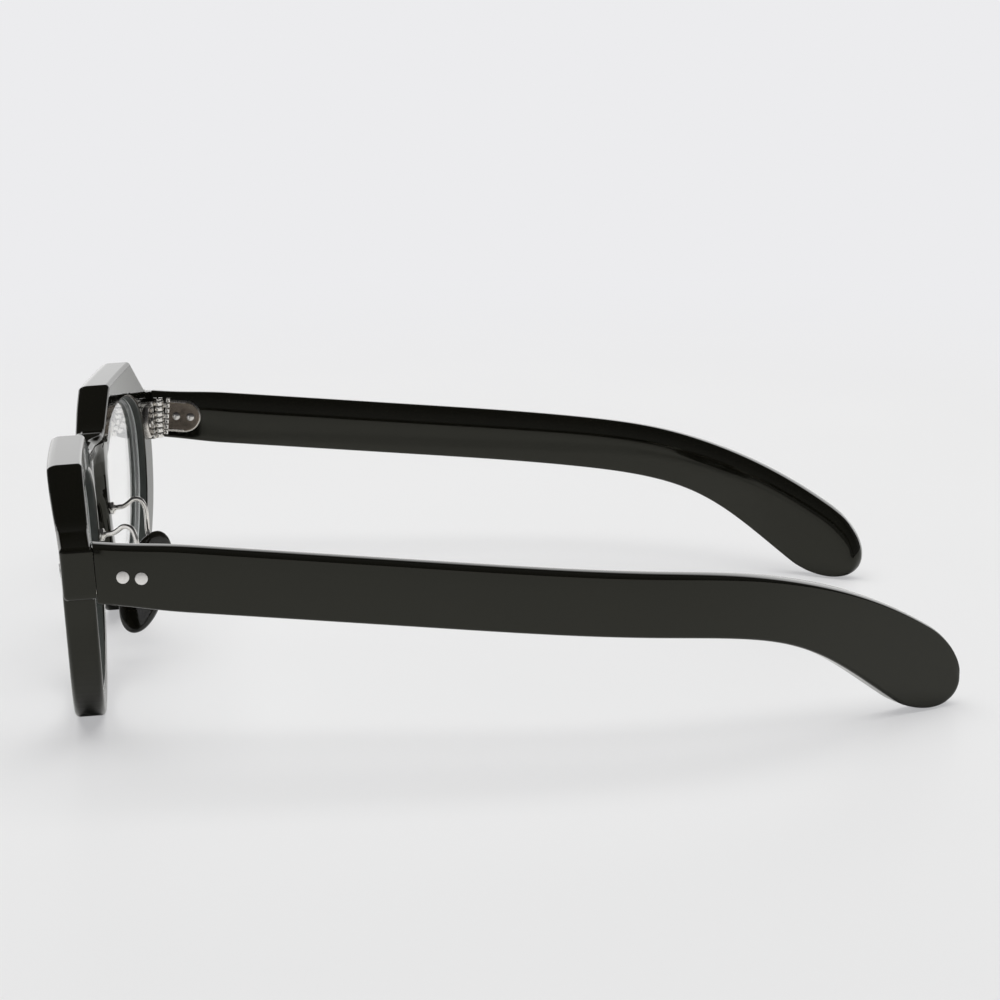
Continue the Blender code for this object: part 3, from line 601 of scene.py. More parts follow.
@dataclass(frozen=True)
class LensOpening:
    """The lens opening seen square to the front: a squarish oval, flatter above its widest line."""

    width: float = 0.0454
    rise: float = 0.0118
    drop: float = 0.0230
    gap: float = 0.0246
    top_power: float = 2.4
    bottom_power: float = 2.1
    height_of_middle: float = 0.0270
    points: int = 128

    @property
    def middle(self) -> Vector:
        """The point on the opening's widest line that its two ovals share."""
        return Vector((self.gap / 2 + self.width / 2, self.height_of_middle))

    def outline(self, grow: float) -> list[Vector]:
        """Return the left opening, grown by a distance, anticlockwise from its temporal side."""
        drawn = []
        for step in range(self.points):
            angle = 2 * math.pi * step / self.points
            rising = math.sin(angle) >= 0
            height = self.rise if rising else self.drop
            power = self.top_power if rising else self.bottom_power
            drawn.append(self.middle + squarish(angle, self.width / 2 + grow, height + grow, power))
        return drawn

    def grown(self, point: Vector, distance: float) -> Vector:
        """Return a point of either opening's edge moved outwards by a distance."""
        middle = Vector((math.copysign(self.middle.x, point.x), self.middle.y))
        height = self.rise if point.y >= middle.y else self.drop
        return Vector((
            middle.x + (point.x - middle.x) * (1 + 2 * distance / self.width),
            middle.y + (point.y - middle.y) * (1 + distance / height),
            point.z,
        ))

    def holds(self, point: Vector, margin: float) -> bool:
        """Tell whether a point lies within an opening that is grown by a margin."""
        rising = point.y >= self.middle.y
        height = (self.rise if rising else self.drop) + margin
        power = self.top_power if rising else self.bottom_power
        across = abs(abs(point.x) - self.middle.x) / (self.width / 2 + margin)
        up = abs(point.y - self.middle.y) / height
        return across ** power + up ** power < 1


OPENING = LensOpening()


@dataclass(frozen=True)
class AcetateFront:
    """The acetate front: drawn flat, milled, bowed, and thicker at the brow."""

    thickness: float = 0.0050
    brow_thickness: float = 0.0057
    brow_rise: float = 0.0120
    tilt: float = math.radians(3.13)
    wrap_radius: float = 0.500
    setback: float = -0.00275
    rim_top: float = 0.0052
    rim_bottom: float = 0.0040
    rim_nasal: float = 0.0038
    rim_temporal: float = 0.0072
    crown_nasal: float = 0.0102
    crown_temporal: float = 0.0154
    end_reach: float = 0.0133
    end_drop: float = 0.0091
    end_height: float = 0.0081
    end_undercut: float = 0.0005
    shelf_length: float = 0.0086
    shelf_rise: float = 0.0017
    shelf_radius: float = 0.0080
    bridge_drop: float = 0.0064
    bridge_half_length: float = 0.0125
    bridge_saddle: float = 0.0004
    bridge_height: float = 0.0074
    arch_spring_drop: float = 0.0030
    nose_bevel: float = 0.0036
    bevel_half_length: float = 0.0045
    bevel_fade: float = 0.0065
    crown_roll: float = 0.0009
    bridge_roll: float = 0.0022
    crown_radius: float = 0.0012
    end_radius: float = 0.0009
    saddle_radius: float = 0.0100
    edge_fillet: float = 0.0008
    opening_fillet: float = 0.0005
    rest_flat: float = 0.0002
    groove_setback: float = 0.0026
    groove_width: float = 0.0020
    groove_depth: float = 0.0008
    groove_lip: float = 0.00020
    corner_steps: int = 6
    rim_steps: int = 72
    arch_steps: int = 16
    fillet_segments: int = 5
    grid: float = 0.0025
    grid_offset: float = 0.00011
    bridge_cuts: int = 9
    roll_cuts: int = 6

    @property
    def crown_top(self) -> float:
        """Height of the crown's flat top."""
        return OPENING.middle.y + OPENING.rise + self.rim_top

    @property
    def bridge_top(self) -> float:
        """Height of the bridge at its ends."""
        return self.crown_top - self.bridge_drop

    @property
    def end_top(self) -> float:
        """Height of the end pieces' upper edge."""
        return self.crown_top - self.end_drop

    @property
    def end_middle(self) -> float:
        """Height of the end pieces' middle."""
        return self.end_top - self.end_height / 2

    @property
    def half_width(self) -> float:
        """Half of the front's width."""
        return OPENING.gap / 2 + OPENING.width + self.end_reach

    @property
    def upper_edge(self) -> list[Vector]:
        """The corners of the left half's upper edge, from the middle of the bridge to the end piece."""
        return [
            Vector((0, self.bridge_top - self.bridge_saddle)),
            Vector((self.bridge_half_length, self.bridge_top)),
            Vector((OPENING.middle.x - self.crown_nasal, self.crown_top)),
            Vector((OPENING.middle.x + self.crown_temporal, self.crown_top)),
            Vector((self.half_width - self.shelf_length, self.end_top + self.shelf_rise)),
            Vector((self.half_width, self.end_top)),
        ]

    def roll_depth(self, flat: Vector, radius: float) -> float:
        """Return how far a face is drawn in at a point, by a roll of the upper edge."""
        corners = self.upper_edge
        across = min(abs(flat.x), self.half_width)
        start, end = next(pair for pair in zip(corners, corners[1:]) if across <= pair[1].x)
        top = start.y + (end.y - start.y) * (across - start.x) / (end.x - start.x)
        inside = radius - min(max(top - flat.y, 0), radius)
        return radius - math.sqrt(radius ** 2 - inside ** 2)

    def rear_depth(self, flat: Vector) -> float:
        """Return how far the bridge's rear face is cut in for the nose, and rolled at its top."""
        share = min(max((self.bridge_top - flat.y) / self.bridge_height, 0), 1)
        reach = 1 - smooth_rise((abs(flat.x) - self.bevel_half_length) / self.bevel_fade)
        return (self.nose_bevel * share + self.roll_depth(flat, self.bridge_roll)) * reach

    def point(self, flat: Vector) -> Vector:
        """Place a point of the flat front on the finished one.

        Args:
            flat: the distance across, up, and back from the rear face.

        Returns:
            The point in the table frame.
        """
        brow = smooth_rise((flat.y - self.crown_top + self.brow_rise) / self.brow_rise)
        back = flat.z * (1 + brow * (self.brow_thickness / self.thickness - 1))
        back -= self.rear_depth(flat) * (1 + flat.z / self.thickness)
        crown, shelf = self.upper_edge[3:5]
        fade = 1 - smooth_rise((abs(flat.x) - crown.x) / (shelf.x - crown.x))
        back -= self.roll_depth(flat, self.crown_roll * fade) * flat.z / self.thickness
        back += flat.x ** 2 / (2 * self.wrap_radius)
        bow = OPENING.middle.x ** 2 / (2 * self.wrap_radius)
        base = (self.thickness - self.edge_fillet - bow) * math.sin(self.tilt) - self.rest_flat
        return Vector((
            flat.x,
            self.setback + back * math.cos(self.tilt) - flat.y * math.sin(self.tilt),
            base + flat.y * math.cos(self.tilt) + back * math.sin(self.tilt),
        ))

    def frame_at(self, across: float, up: float, back: float) -> Matrix:
        """Return a frame on the rear face: X towards the nose, Y up the front, Z out of the face."""
        upwards = Vector((0, -math.sin(self.tilt), math.cos(self.tilt)))
        slope = across / self.wrap_radius
        outwards = Vector((1, slope * math.cos(self.tilt), slope * math.sin(self.tilt))).normalized()
        return axes_at(self.point(Vector((across, up, back))), -outwards, upwards)

    def rim_angle(self, drop: float) -> float:
        """Return the angle on the rim's lower edge at a distance below the opening's middle."""
        return math.asin((drop / (OPENING.drop + self.rim_bottom)) ** (OPENING.bottom_power / 2))

    def rim_point(self, angle: float) -> Vector:
        """Return the point of the left rim's lower edge at an angle below the temporal side."""
        margin = self.rim_temporal if math.cos(angle) >= 0 else self.rim_nasal
        width = OPENING.width / 2 + margin
        return OPENING.middle + squarish(-angle, width, OPENING.drop + self.rim_bottom, OPENING.bottom_power)

    def half_outline(self) -> list[Vector]:
        """Return the left half of the front's edge, from the top of the bridge round to the nose arch."""
        end_bottom = self.end_top - self.end_height
        first = self.rim_angle(OPENING.middle.y - end_bottom + 2 * self.end_radius)
        last = math.pi - self.rim_angle(self.arch_spring_drop)
        rim_start = self.rim_point(first)
        spring = self.rim_point(last)
        radii = (
            0, self.saddle_radius, self.crown_radius, self.crown_radius, self.shelf_radius, self.end_radius)
        corners = [(point.x, point.y, radius) for point, radius in zip(self.upper_edge, radii)]
        corners += [
            (self.half_width, end_bottom, self.end_radius),
            (rim_start.x, end_bottom - self.end_undercut, self.end_radius),
            (rim_start.x, rim_start.y, 0),
        ]
        half = rounded(corners, self.corner_steps)
        half += [self.rim_point(first + (last - first) * step / self.rim_steps)
                 for step in range(1, self.rim_steps + 1)]
        arch_rise = self.bridge_top - self.bridge_height - spring.y
        for step in range(1, self.arch_steps):
            angle = math.pi / 2 * step / self.arch_steps
            half.append(Vector((spring.x * math.cos(angle), spring.y + arch_rise * math.sin(angle))))
        half.append(Vector((0, spring.y + arch_rise)))
        return half

    def flat_sheet(self) -> BMesh:
        """Return the flat front as three faces: the upper half and the two lower rims."""
        mesh = bmesh.new()
        half = self.half_outline()
        edge = half + [Vector((-point.x, point.y)) for point in reversed(half[1:-1])]
        edge_points = [mesh.verts.new((point.x, point.y, 0)) for point in edge]
        opening = OPENING.outline(0)
        left = [mesh.verts.new((point.x, point.y, 0)) for point in opening]
        right = [mesh.verts.new((-point.x, point.y, 0)) for point in opening]
        rim_first = len(half) - self.arch_steps - self.rim_steps
        quarter = self.rim_steps // 4
        outer = rim_first + quarter
        inner = rim_first + self.rim_steps - quarter
        far_outer = len(edge) - outer
        far_inner = len(edge) - inner
        eighth = len(opening) // 8
        temporal = len(opening) - eighth
        nasal = len(opening) // 2 + eighth
        over = [index % len(opening) for index in range(temporal, len(opening) + nasal + 1)]
        under = range(nasal, temporal + 1)
        mesh.faces.new(edge_points[outer:inner + 1] + [left[index] for index in under])
        mesh.faces.new(edge_points[far_inner:far_outer + 1] + [right[index] for index in reversed(under)])
        mesh.faces.new(
            edge_points[inner:far_inner + 1] + [right[index] for index in reversed(over)]
            + edge_points[far_outer:] + edge_points[:outer + 1] + [left[index] for index in over])
        return mesh

    def mill_edges(self, mesh: BMesh) -> None:
        """Round the outer edges and the openings' edges of the flat slab."""
        rims = [edge for edge in sharp_edges(mesh)
                if abs(edge.verts[0].co.z - edge.verts[1].co.z) < MERGE_DISTANCE]
        margin = self.opening_fillet / 2
        inside = [edge for edge in rims if OPENING.holds(edge.verts[0].co, margin)]
        outside = [edge for edge in rims if not OPENING.holds(edge.verts[0].co, margin)
                   and not all(abs(point.co.x) > self.half_width - margin and point.co.z > -margin
                               for point in edge.verts)]
        bevel(mesh, inside, self.opening_fillet, self.fillet_segments)
        bevel(mesh, [edge for edge in outside if edge.is_valid], self.edge_fillet, self.fillet_segments)

    def cut_groove(self, mesh: BMesh) -> None:
        """Cut the V groove that holds each lens into the wall of its opening."""
        half = self.groove_width / 2
        for offset in (half + self.groove_lip, half, 0, -half, -half - self.groove_lip):
            wall = [face for face in mesh.faces if abs(face.normal.z) < WALL_SLOPE
                    and OPENING.holds(face.verts[0].co, self.opening_fillet / 2)]
            cut(mesh, (0, 0, offset - self.groove_setback), (0, 0, 1), wall)
        for vertex in mesh.verts:
            on_line = abs(vertex.co.z + self.groove_setback) < MERGE_DISTANCE
            if on_line and OPENING.holds(vertex.co, self.opening_fillet):
                vertex.co = OPENING.grown(vertex.co, self.groove_depth)
        # The opening's wall gets the milled finish, whose grey is partly painted sheen
        for face in mesh.faces:
            middle = face.calc_center_median()
            within = self.opening_fillet / 2 < -middle.z < self.thickness - self.opening_fillet / 2
            if within and OPENING.holds(middle, self.groove_depth):
                beside = abs(abs(middle.z + self.groove_setback) - self.groove_width / 2)
                # Thin faces beside the groove's edges get pale lines of painted highlight
                face.material_index = FrontSurface.LIP if beside < self.groove_lip else FrontSurface.MILLED

    def cut_grid(self, mesh: BMesh) -> None:
        """Cut the slab by an even grid, finer at the bridge, so that it follows the bow."""
        across = int(self.half_width / self.grid)
        up = int(self.crown_top / self.grid)
        fine = self.grid / 2
        shift = 2 * self.grid_offset
        coarse_across = [step * self.grid + self.grid_offset for step in range(-across, across + 1)]
        coarse_up = [step * self.grid + self.grid_offset for step in range(1, up + 1)]
        fine_across = [step * fine + shift for step in range(-self.bridge_cuts, self.bridge_cuts + 1)]
        fine_up = [self.bridge_top - step * fine + shift for step in range(self.bridge_cuts)]
        for columns, rows in ((coarse_across, coarse_up), (fine_across, fine_up)):
            for place in columns:
                cut(mesh, (place, 0, 0), (1, 0, 0))
            for place in rows:
                cut(mesh, (0, place, 0), (0, 1, 0))

    def cut_roll(self, mesh: BMesh) -> None:
        """Cut the slab along its upper edge, close together, so that it follows the roll."""
        corners = self.upper_edge
        for start, end in zip(corners, corners[1:]):
            for step in range(1, self.roll_cuts + 1):
                drop = self.crown_roll * (step / self.roll_cuts) ** 2
                for side in Side:
                    near = [face for face in mesh.faces if any(
                        start.x <= side.value * point.co.x <= end.x for point in face.verts)]
                    cut(mesh, (side.value * start.x, start.y - drop, 0),
                        (side.value * (start.y - end.y), end.x - start.x, 0), near)

    def build(self) -> BMesh:
        """Return the finished front, with the small flats that it stands on."""
        mesh = self.flat_sheet()
        thicken(mesh, -self.thickness)
        self.mill_edges(mesh)
        self.cut_groove(mesh)
        self.cut_roll(mesh)
        self.cut_grid(mesh)
        for vertex in mesh.verts:
            vertex.co = self.point(vertex.co)
        cut(mesh, (0, 0, 0), (0, 0, -1), clear=True)
        bmesh.ops.edgeloop_fill(mesh, edges=[edge for edge in mesh.edges if edge.is_boundary])
        bmesh.ops.remove_doubles(mesh, verts=mesh.verts, dist=MERGE_DISTANCE)
        return mesh


FRONT = AcetateFront()


@dataclass(frozen=True)
class Lens:
    """A clear lens: a shallow dome of even thickness with a bevelled edge."""

    thickness: float = 0.0020
    dome: float = 0.0014
    edge_reach: float = 0.0005
    clearance: float = 0.00015
    setback: float = 0.0026
    rings: int = 14
    hub: float = 0.03

    def build(self) -> BMesh:
        """Return the left lens in its groove, with the ground edge as its second material."""
        face = OPENING.outline(-self.clearance)
        edge = OPENING.outline(self.edge_reach)
        shares = [self.hub + (1 - self.hub) * ring / self.rings for ring in range(self.rings + 1)]
        profile = [(share, self.thickness / 2) for share in shares]
        profile += [(share, -self.thickness / 2) for share in reversed(shares)]

        def place(number: int, station: int) -> Vector:
            """Return a point of the lens by its number round the edge and its ring."""
            if station == len(shares):
                return Vector((edge[number].x, edge[number].y, -self.setback))
            share, level = profile[station if station < len(shares) else station - 1]
            flat = OPENING.middle.lerp(face[number], share)
            return Vector((flat.x, flat.y, level - self.setback - self.dome * (1 - share ** 2)))

        mesh = bar(OPENING.points, len(profile), place)
        for point in mesh.verts:
            if not OPENING.holds(point.co, self.edge_reach / 2):
                for beside in point.link_faces:
                    beside.material_index = LensSurface.GROUND
        for point in mesh.verts:
            point.co = FRONT.point(point.co)
        return mesh


@dataclass(frozen=True)
class Temple:
    """An acetate temple: a straight run, an inward and a downward bend, and a paddle tip."""

    length: float = 0.1481
    thickness: float = 0.0042
    height: float = 0.0100
    butt_height: float = 0.0091
    butt_run: float = 0.0150
    outer_top: tuple[float, float] = (0.0030, 0.0007)
    inner_top: tuple[float, float] = (0.0010, 0.0042)
    inner_bottom: tuple[float, float] = (0.0006, 0.0006)
    outer_bottom: tuple[float, float] = (0.0008, 0.0006)
    crown: float = 0.05
    drop: float = 0.00025
    gap: float = 0.0003
    butt_gap: float = 0.00006
    lean: float = 1.5
    lean_run: float = 0.0200
    slope: float = 4.73
    splay: float = 0.8
    inward_bend: float = 30.5
    inward_start: float = 0.0500
    inward_run: float = 0.0796
    downward_bend: float = 27.7
    downward_start: float = 0.0830
    downward_run: float = 0.0598
    paddle_height: float = 0.0138
    paddle_start: float = 0.1020
    paddle_run: float = 0.0421
    tip_round: float = 0.0118
    tip_power: float = 2.0
    tip_edge: float = 0.0010
    tip_fade: float = 0.5
    tip_close: float = 0.985
    butt_fillet: float = 0.00014
    butt_steps: int = 4
    fillet_limit: float = 0.96
    outer_share: float = 1.4
    section_steps: int = 10
    face_steps: int = 8
    run_stations: int = 96
    tip_stations: int = 22
    path_steps: int = 200

    @property
    def across(self) -> float:
        """Distance of the temple's middle from the middle of the front, at the butt."""
        return FRONT.half_width - self.thickness / 2

    def heading(self, distance: float) -> Vector:
        """Return the direction of the temple's centreline at a distance from its butt."""
        inward = self.inward_bend * smooth_rise((distance - self.inward_start) / self.inward_run)
        downward = self.downward_bend * smooth_rise((distance - self.downward_start) / self.downward_run)
        turn = math.radians(inward - self.splay)
        dip = math.radians(downward + self.slope)
        return Vector((-math.cos(dip) * math.sin(turn), math.cos(dip) * math.cos(turn), -math.sin(dip)))

    def frame_at(self, distance: float) -> Matrix:
        """Return a frame on the centreline: X outwards, Y up and Z forwards along it."""
        butt = FRONT.point(Vector((self.across, FRONT.end_middle, self.gap)))
        end = FRONT.point(Vector((self.across, FRONT.end_middle, 0)))
        place = Vector((self.across, butt.y, end.z - self.drop))
        step = distance / self.path_steps
        for index in range(self.path_steps):
            place += self.heading((index + 0.5) * step) * step
        heading = self.heading(distance)
        upwards = (Vector((0, 0, 1)) - heading * heading.z).normalized()
        lean = math.radians(self.lean) * smooth_rise(distance / self.lean_run)
        upwards = Matrix.Rotation(lean, 3, heading) @ upwards
        return axes_at(place, heading.cross(upwards), upwards)

    def section(self, distance: float, shrink: float = 0.0) -> list[Vector]:
        """Return the rounded section at a distance, in its own plane and drawn in by a margin."""
        grown = smooth_rise(distance / self.butt_run)
        paddle = smooth_rise((distance - self.paddle_start) / self.paddle_run)
        height = self.butt_height + (self.height - self.butt_height) * grown
        height += (self.paddle_height - self.height) * paddle
        into_tip = max(0, 1 - (self.length - distance) / self.tip_round)
        half_height = height / 2 * (1 - into_tip ** self.tip_power) ** (1 / self.tip_power) - shrink
        half_width = self.thickness / 2 - shrink
        points = []
        fillets = (self.outer_top, self.inner_top, self.inner_bottom, self.outer_bottom)
        for quarter, fillet in enumerate(fillets):
            share = self.outer_share if quarter in (0, 3) else 2 - self.outer_share
            across = min(fillet[0] - shrink, self.fillet_limit * share * half_width)
            up = min(fillet[1] - shrink, self.fillet_limit * half_height)
            corner = Vector((
                half_width - across if quarter in (0, 3) else across - half_width,
                half_height - up if quarter in (0, 1) else up - half_height,
            ))
            for step in range(self.section_steps + 1):
                angle = math.pi / 2 * (quarter + step / self.section_steps)
                points.append(corner + Vector((across * math.cos(angle), up * math.sin(angle))))
            if quarter in (1, 3):
                end = fillets[(quarter + 1) % len(fillets)][1] - shrink
                far = half_height - min(end, self.fillet_limit * half_height)
                begin = points[-1]
                finish = Vector((begin.x, far if quarter == 3 else -far))
                points += [begin.lerp(finish, step / self.face_steps) for step in range(1, self.face_steps)]
        for point in points:
            point.x *= 1 - self.crown * (point.y / half_height) ** 2
            point.x *= self.edge_share(into_tip, 2 * point.y / height)
        return points

    def edge_share(self, into_tip: float, rise: float) -> float:
        """Return the share of the thickness that the tip's rounded edge leaves at a point.

        Args:
            into_tip: how far into the tip the section is, from 0 at its start to 1 at its end.
            rise: the point's height as a share of half the paddle's height.

        Returns:
            The share, from 0 to 1.
        """
        outline = max(0, 1 - abs(rise) ** self.tip_power) ** (1 / self.tip_power)
        into_edge = 1 - (outline - into_tip) * self.tip_round / self.tip_edge
        share = math.sqrt(1 - min(1, max(0, into_edge)) ** 2)
        return 1 - smooth_rise(into_tip / self.tip_fade) * (1 - share)

    def stations(self) -> list[float]:
        """Return the distances along the temple at which its section is drawn."""
        tip_start = self.length - self.tip_round
        drawn = [tip_start * step / self.run_stations for step in range(1, self.run_stations)]
        for step in range(self.tip_stations + 1):
            turn = math.pi / 2 * self.tip_close * step / self.tip_stations
            drawn.append(tip_start + self.tip_round * math.sin(turn))
        return drawn

    def build(self) -> BMesh:
        """Return the left temple, its butt cut to lie against the rear of the end piece."""
        along = self.heading(0)
        butt = FRONT.frame_at(self.across, FRONT.end_middle, self.butt_gap)
        square = butt.to_3x3().col[2]
        start = self.frame_at(0)
        rings = []
        for step in range(self.butt_steps + 1):
            turn = math.pi / 2 * step / self.butt_steps
            depth = butt.translation + square * self.butt_fillet * (1 - math.cos(turn))
            shrink = self.butt_fillet * (1 - math.sin(turn))
            ring = [start @ point.to_3d() for point in self.section(0, shrink)]
            rings.append([
                point + along * ((depth - point).dot(square) / along.dot(square)) for point in ring])
        for distance in self.stations():
            here = self.frame_at(distance)
            rings.append([here @ point.to_3d() for point in self.section(distance)])
        return bar(len(rings[0]), len(rings) - 1, lambda number, station: rings[station][number])


TEMPLE = Temple()


@dataclass(frozen=True)
class Slot:
    """A screwdriver slot across a screw's head."""

    width: float
    depth: float


@dataclass(frozen=True)
class BarrelHinge:
    """A seven-barrel hinge: two leaves let into the acetate, and the screw that they turn on."""

    barrels: int = 7
    barrel_radius: float = 0.00115
    barrel_height: float = 0.00095
    barrel_gap: float = 0.00012
    barrel_bore: float = 0.00065
    standoff: float = 0.00145
    drop: float = 0.00095
    relief: float = 0.00015
    leaf_height: float = 0.0064
    leaf_proud: float = 0.00075
    leaf_sunk: float = 0.00035
    leaf_edge: float = 0.00050
    ridge_width: float = 0.0008
    ridge_proud: float = 0.00105
    bead_edge: float = 0.00010
    temple_leaf_length: float = 0.0084
    front_leaf_length: float = 0.0064
    screw_radius: float = 0.00055
    head_radius: float = 0.0010
    head_height: float = 0.0005
    head_gap: float = 0.0001
    slot: Slot = Slot(0.00026, 0.00022)
    small_edge: float = 0.00008

    @property
    def foot(self) -> Matrix:
        """The frame of the front's leaf on the rear face, behind the screw."""
        lean = (FRONT.half_width - TEMPLE.thickness) / FRONT.wrap_radius
        across = FRONT.half_width - TEMPLE.thickness - self.standoff * (1 - lean)
        return FRONT.frame_at(across, FRONT.end_middle - self.drop, 0)

    @property
    def axis_point(self) -> Vector:
        """The middle of the screw's axis."""
        return self.foot @ Vector((0, 0, self.standoff))

    @property
    def temple_foot(self) -> Matrix:
        """The frame of the temple's leaf on its inner face: X along it from the hinge."""
        start = TEMPLE.frame_at(0)
        outwards, upwards, forwards = start.to_3x3().col
        face = start.translation - outwards * TEMPLE.thickness / 2
        face -= forwards * (self.axis_point - face).dot(-forwards)
        return axes_at(face, -forwards, -upwards)

    def leaf_outline(self, start: float, length: float) -> list[Vector]:
        """Return a leaf's plate, straight at the barrels and round at its far end."""
        half = self.leaf_height / 2
        arc = TURN_STEPS // 2
        points = [Vector((start, half)), Vector((start, -half))]
        for step in range(arc + 1):
            angle = math.pi * (step / arc - 0.5)
            points.append(Vector((length - half + half * math.cos(angle), half * math.sin(angle))))
        return points

    def levels(self, first: int) -> list[float]:
        """Return the heights of every other barrel's middle."""
        pitch = self.barrel_height + self.barrel_gap
        return [(index - (self.barrels - 1) / 2) * pitch for index in range(first, self.barrels, 2)]

    def leaf(self, foot: Matrix, length: float, first: int) -> BMesh:
        """Return a leaf with its plate, its ridge beside the barrels, and its barrels.

        Args:
            foot: the leaf's frame, with Z out of the acetate.
            length: the distance from the screw to the plate's round end.
            first: the number of its lowest barrel.

        Returns:
            The leaf in the table frame.
        """
        start = self.barrel_radius + self.relief
        plate = slab(self.leaf_outline(start, length), -self.leaf_sunk, self.leaf_proud)
        face = max(plate.faces, key=lambda each: each.calc_center_median().z)
        bevel(plate, face.edges, self.leaf_edge, ROUND_SEGMENTS)
        plate.normal_update()
        for each in plate.faces:
            on_face = abs(each.normal.z) > FACE_SLOPE and each.calc_center_median().z > 0
            # The plate's flat face gets the darker metal, which is painted shade
            each.material_index = LeafSurface.FACE if on_face else LeafSurface.EDGE
        shells = [placed(plate, foot)]
        low = self.barrel_height / 2
        for level in self.levels(0) + self.levels(1):
            bead = block((start, level - low, -self.leaf_sunk),
                         (start + self.ridge_width, level + low, self.ridge_proud))
            bevel(bead, bead.edges[:], self.bead_edge, ROUND_SEGMENTS)
            shells.append(placed(surfaced(bead, LeafSurface.BARREL), foot))
        for level in self.levels(first):
            ring = turned([
                (self.barrel_bore, -low), (self.barrel_radius, -low), (self.barrel_radius, low),
                (self.barrel_bore, low), (self.barrel_bore, -low)])
            bevel(ring, sharp_edges(ring), self.small_edge, EDGE_SEGMENTS)
            where = Matrix.Translation(self.axis_point + Vector((0, 0, level)))
            height = level * foot.to_3x3().col[1].z
            tab = block((self.barrel_bore, height - low, -self.leaf_sunk),
                        (start + self.ridge_width / 2, height + low, self.ridge_proud))
            bevel(tab, tab.edges[:], self.small_edge, TAB_SEGMENTS)
            shells += [placed(surfaced(ring, LeafSurface.BARREL), where), placed(tab, foot)]
        return joined(shells)

    def screw(self) -> BMesh:
        """Return the slotted screw that the barrels turn on."""
        pitch = self.barrel_height + self.barrel_gap
        half = (self.barrels - 1) / 2 * pitch + self.barrel_height / 2
        head = half + self.head_gap
        screw = slotted_screw(
            self.screw_radius, -half, head, self.head_radius, self.head_height, self.slot)
        return placed(screw, Matrix.Translation(self.axis_point))


def slotted_screw(radius: float, low: float, head: float, head_radius: float, head_height: float,
                  slot: Slot) -> BMesh:
    """Return a screw round the Z axis with a rounded, slotted head.

    Args:
        radius: the shank's radius.
        low: the shank's lower end.
        head: the height of the head's underside.
        head_radius: the head's radius.
        head_height: the head's height.
        slot: the slot across the head.

    Returns:
        The screw.
    """
    top = head + head_height
    mesh = turned([
        (0, low), (radius, low), (radius, head), (head_radius, head), (head_radius, top), (0, top)])
    rim = [edge for edge in sharp_edges(mesh) if edge.verts[0].co.z > head]
    bevel(mesh, rim, head_height * HEAD_ROUND, ROUND_SEGMENTS)
    cutter = block((-2 * head_radius, -slot.width / 2, top - slot.depth),
                   (2 * head_radius, slot.width / 2, 2 * top))
    return carved(mesh, cutter)


def carved(mesh: BMesh, cutter: BMesh) -> BMesh:
    """Cut one mesh out of another.

    Args:
        mesh: the body.
        cutter: what is taken out of it.

    Returns:
        What is left of the body.
    """
    pair = []
    for name, source in (("body", mesh), ("cutter", cutter)):
        bmesh.ops.recalc_face_normals(source, faces=source.faces)
        pair.append(add_object(name, stored(name, source)))
    body, tool = pair
    carve = body.modifiers.new("carve", "BOOLEAN")
    carve.operation = "DIFFERENCE"
    carve.solver = "EXACT"
    carve.object = tool
    graph = bpy.context.evaluated_depsgraph_get()
    left = bmesh.new()
    left.from_object(body, graph)
    for helper in pair:
        data = helper.data
        bpy.data.objects.remove(helper)
        bpy.data.meshes.remove(data)
    return left


HINGE = BarrelHinge()


@dataclass(frozen=True)
class Rivet:
    """A rivet through a leaf: a flush disc outside the acetate and a small dome on the leaf."""

    radius: float
    depth: float
    reaches: tuple[float, float]
    shank_radius: float = 0.00055
    dome_radius: float = 0.00080
    dome_height: float = 0.00035
    disc_proud: float = 0.00004
    disc_edge: float = 0.00006
    dome_steps: int = 7

    def build(self, foot: Matrix, reach: float) -> BMesh:
        """Return the rivet at a distance along its leaf, with its dome as its second material."""
        dome = HINGE.leaf_proud
        disc = -self.depth - self.disc_proud
        profile = [(0, disc), (self.radius, disc)]
        profile += [(self.radius, -2 * HINGE.leaf_sunk), (self.shank_radius, -2 * HINGE.leaf_sunk)]
        profile += [(self.shank_radius, dome), (self.dome_radius, dome)]
        for step in range(1, self.dome_steps + 1):
            turn = math.pi / 2 * step / self.dome_steps
            profile.append((self.dome_radius * math.cos(turn), dome + self.dome_height * math.sin(turn)))
        profile[-1] = (0, dome + self.dome_height)
        mesh = turned(profile)
        rim = [edge for edge in sharp_edges(mesh) if edge.verts[0].co.z < disc + self.disc_proud]
        bevel(mesh, rim, self.disc_edge, EDGE_SEGMENTS)
        for face in mesh.faces:
            on_dome = face.calc_center_median().z > dome
            face.material_index = RivetSurface.DOME if on_dome else RivetSurface.DISC
        return placed(mesh, foot @ Matrix.Translation((reach, 0, 0)))


TEMPLE_RIVET = Rivet(0.00098, TEMPLE.thickness, (0.0035, 0.0063))
FRONT_RIVET = Rivet(0.0008, FRONT.thickness, (0.0022, 0.0048))


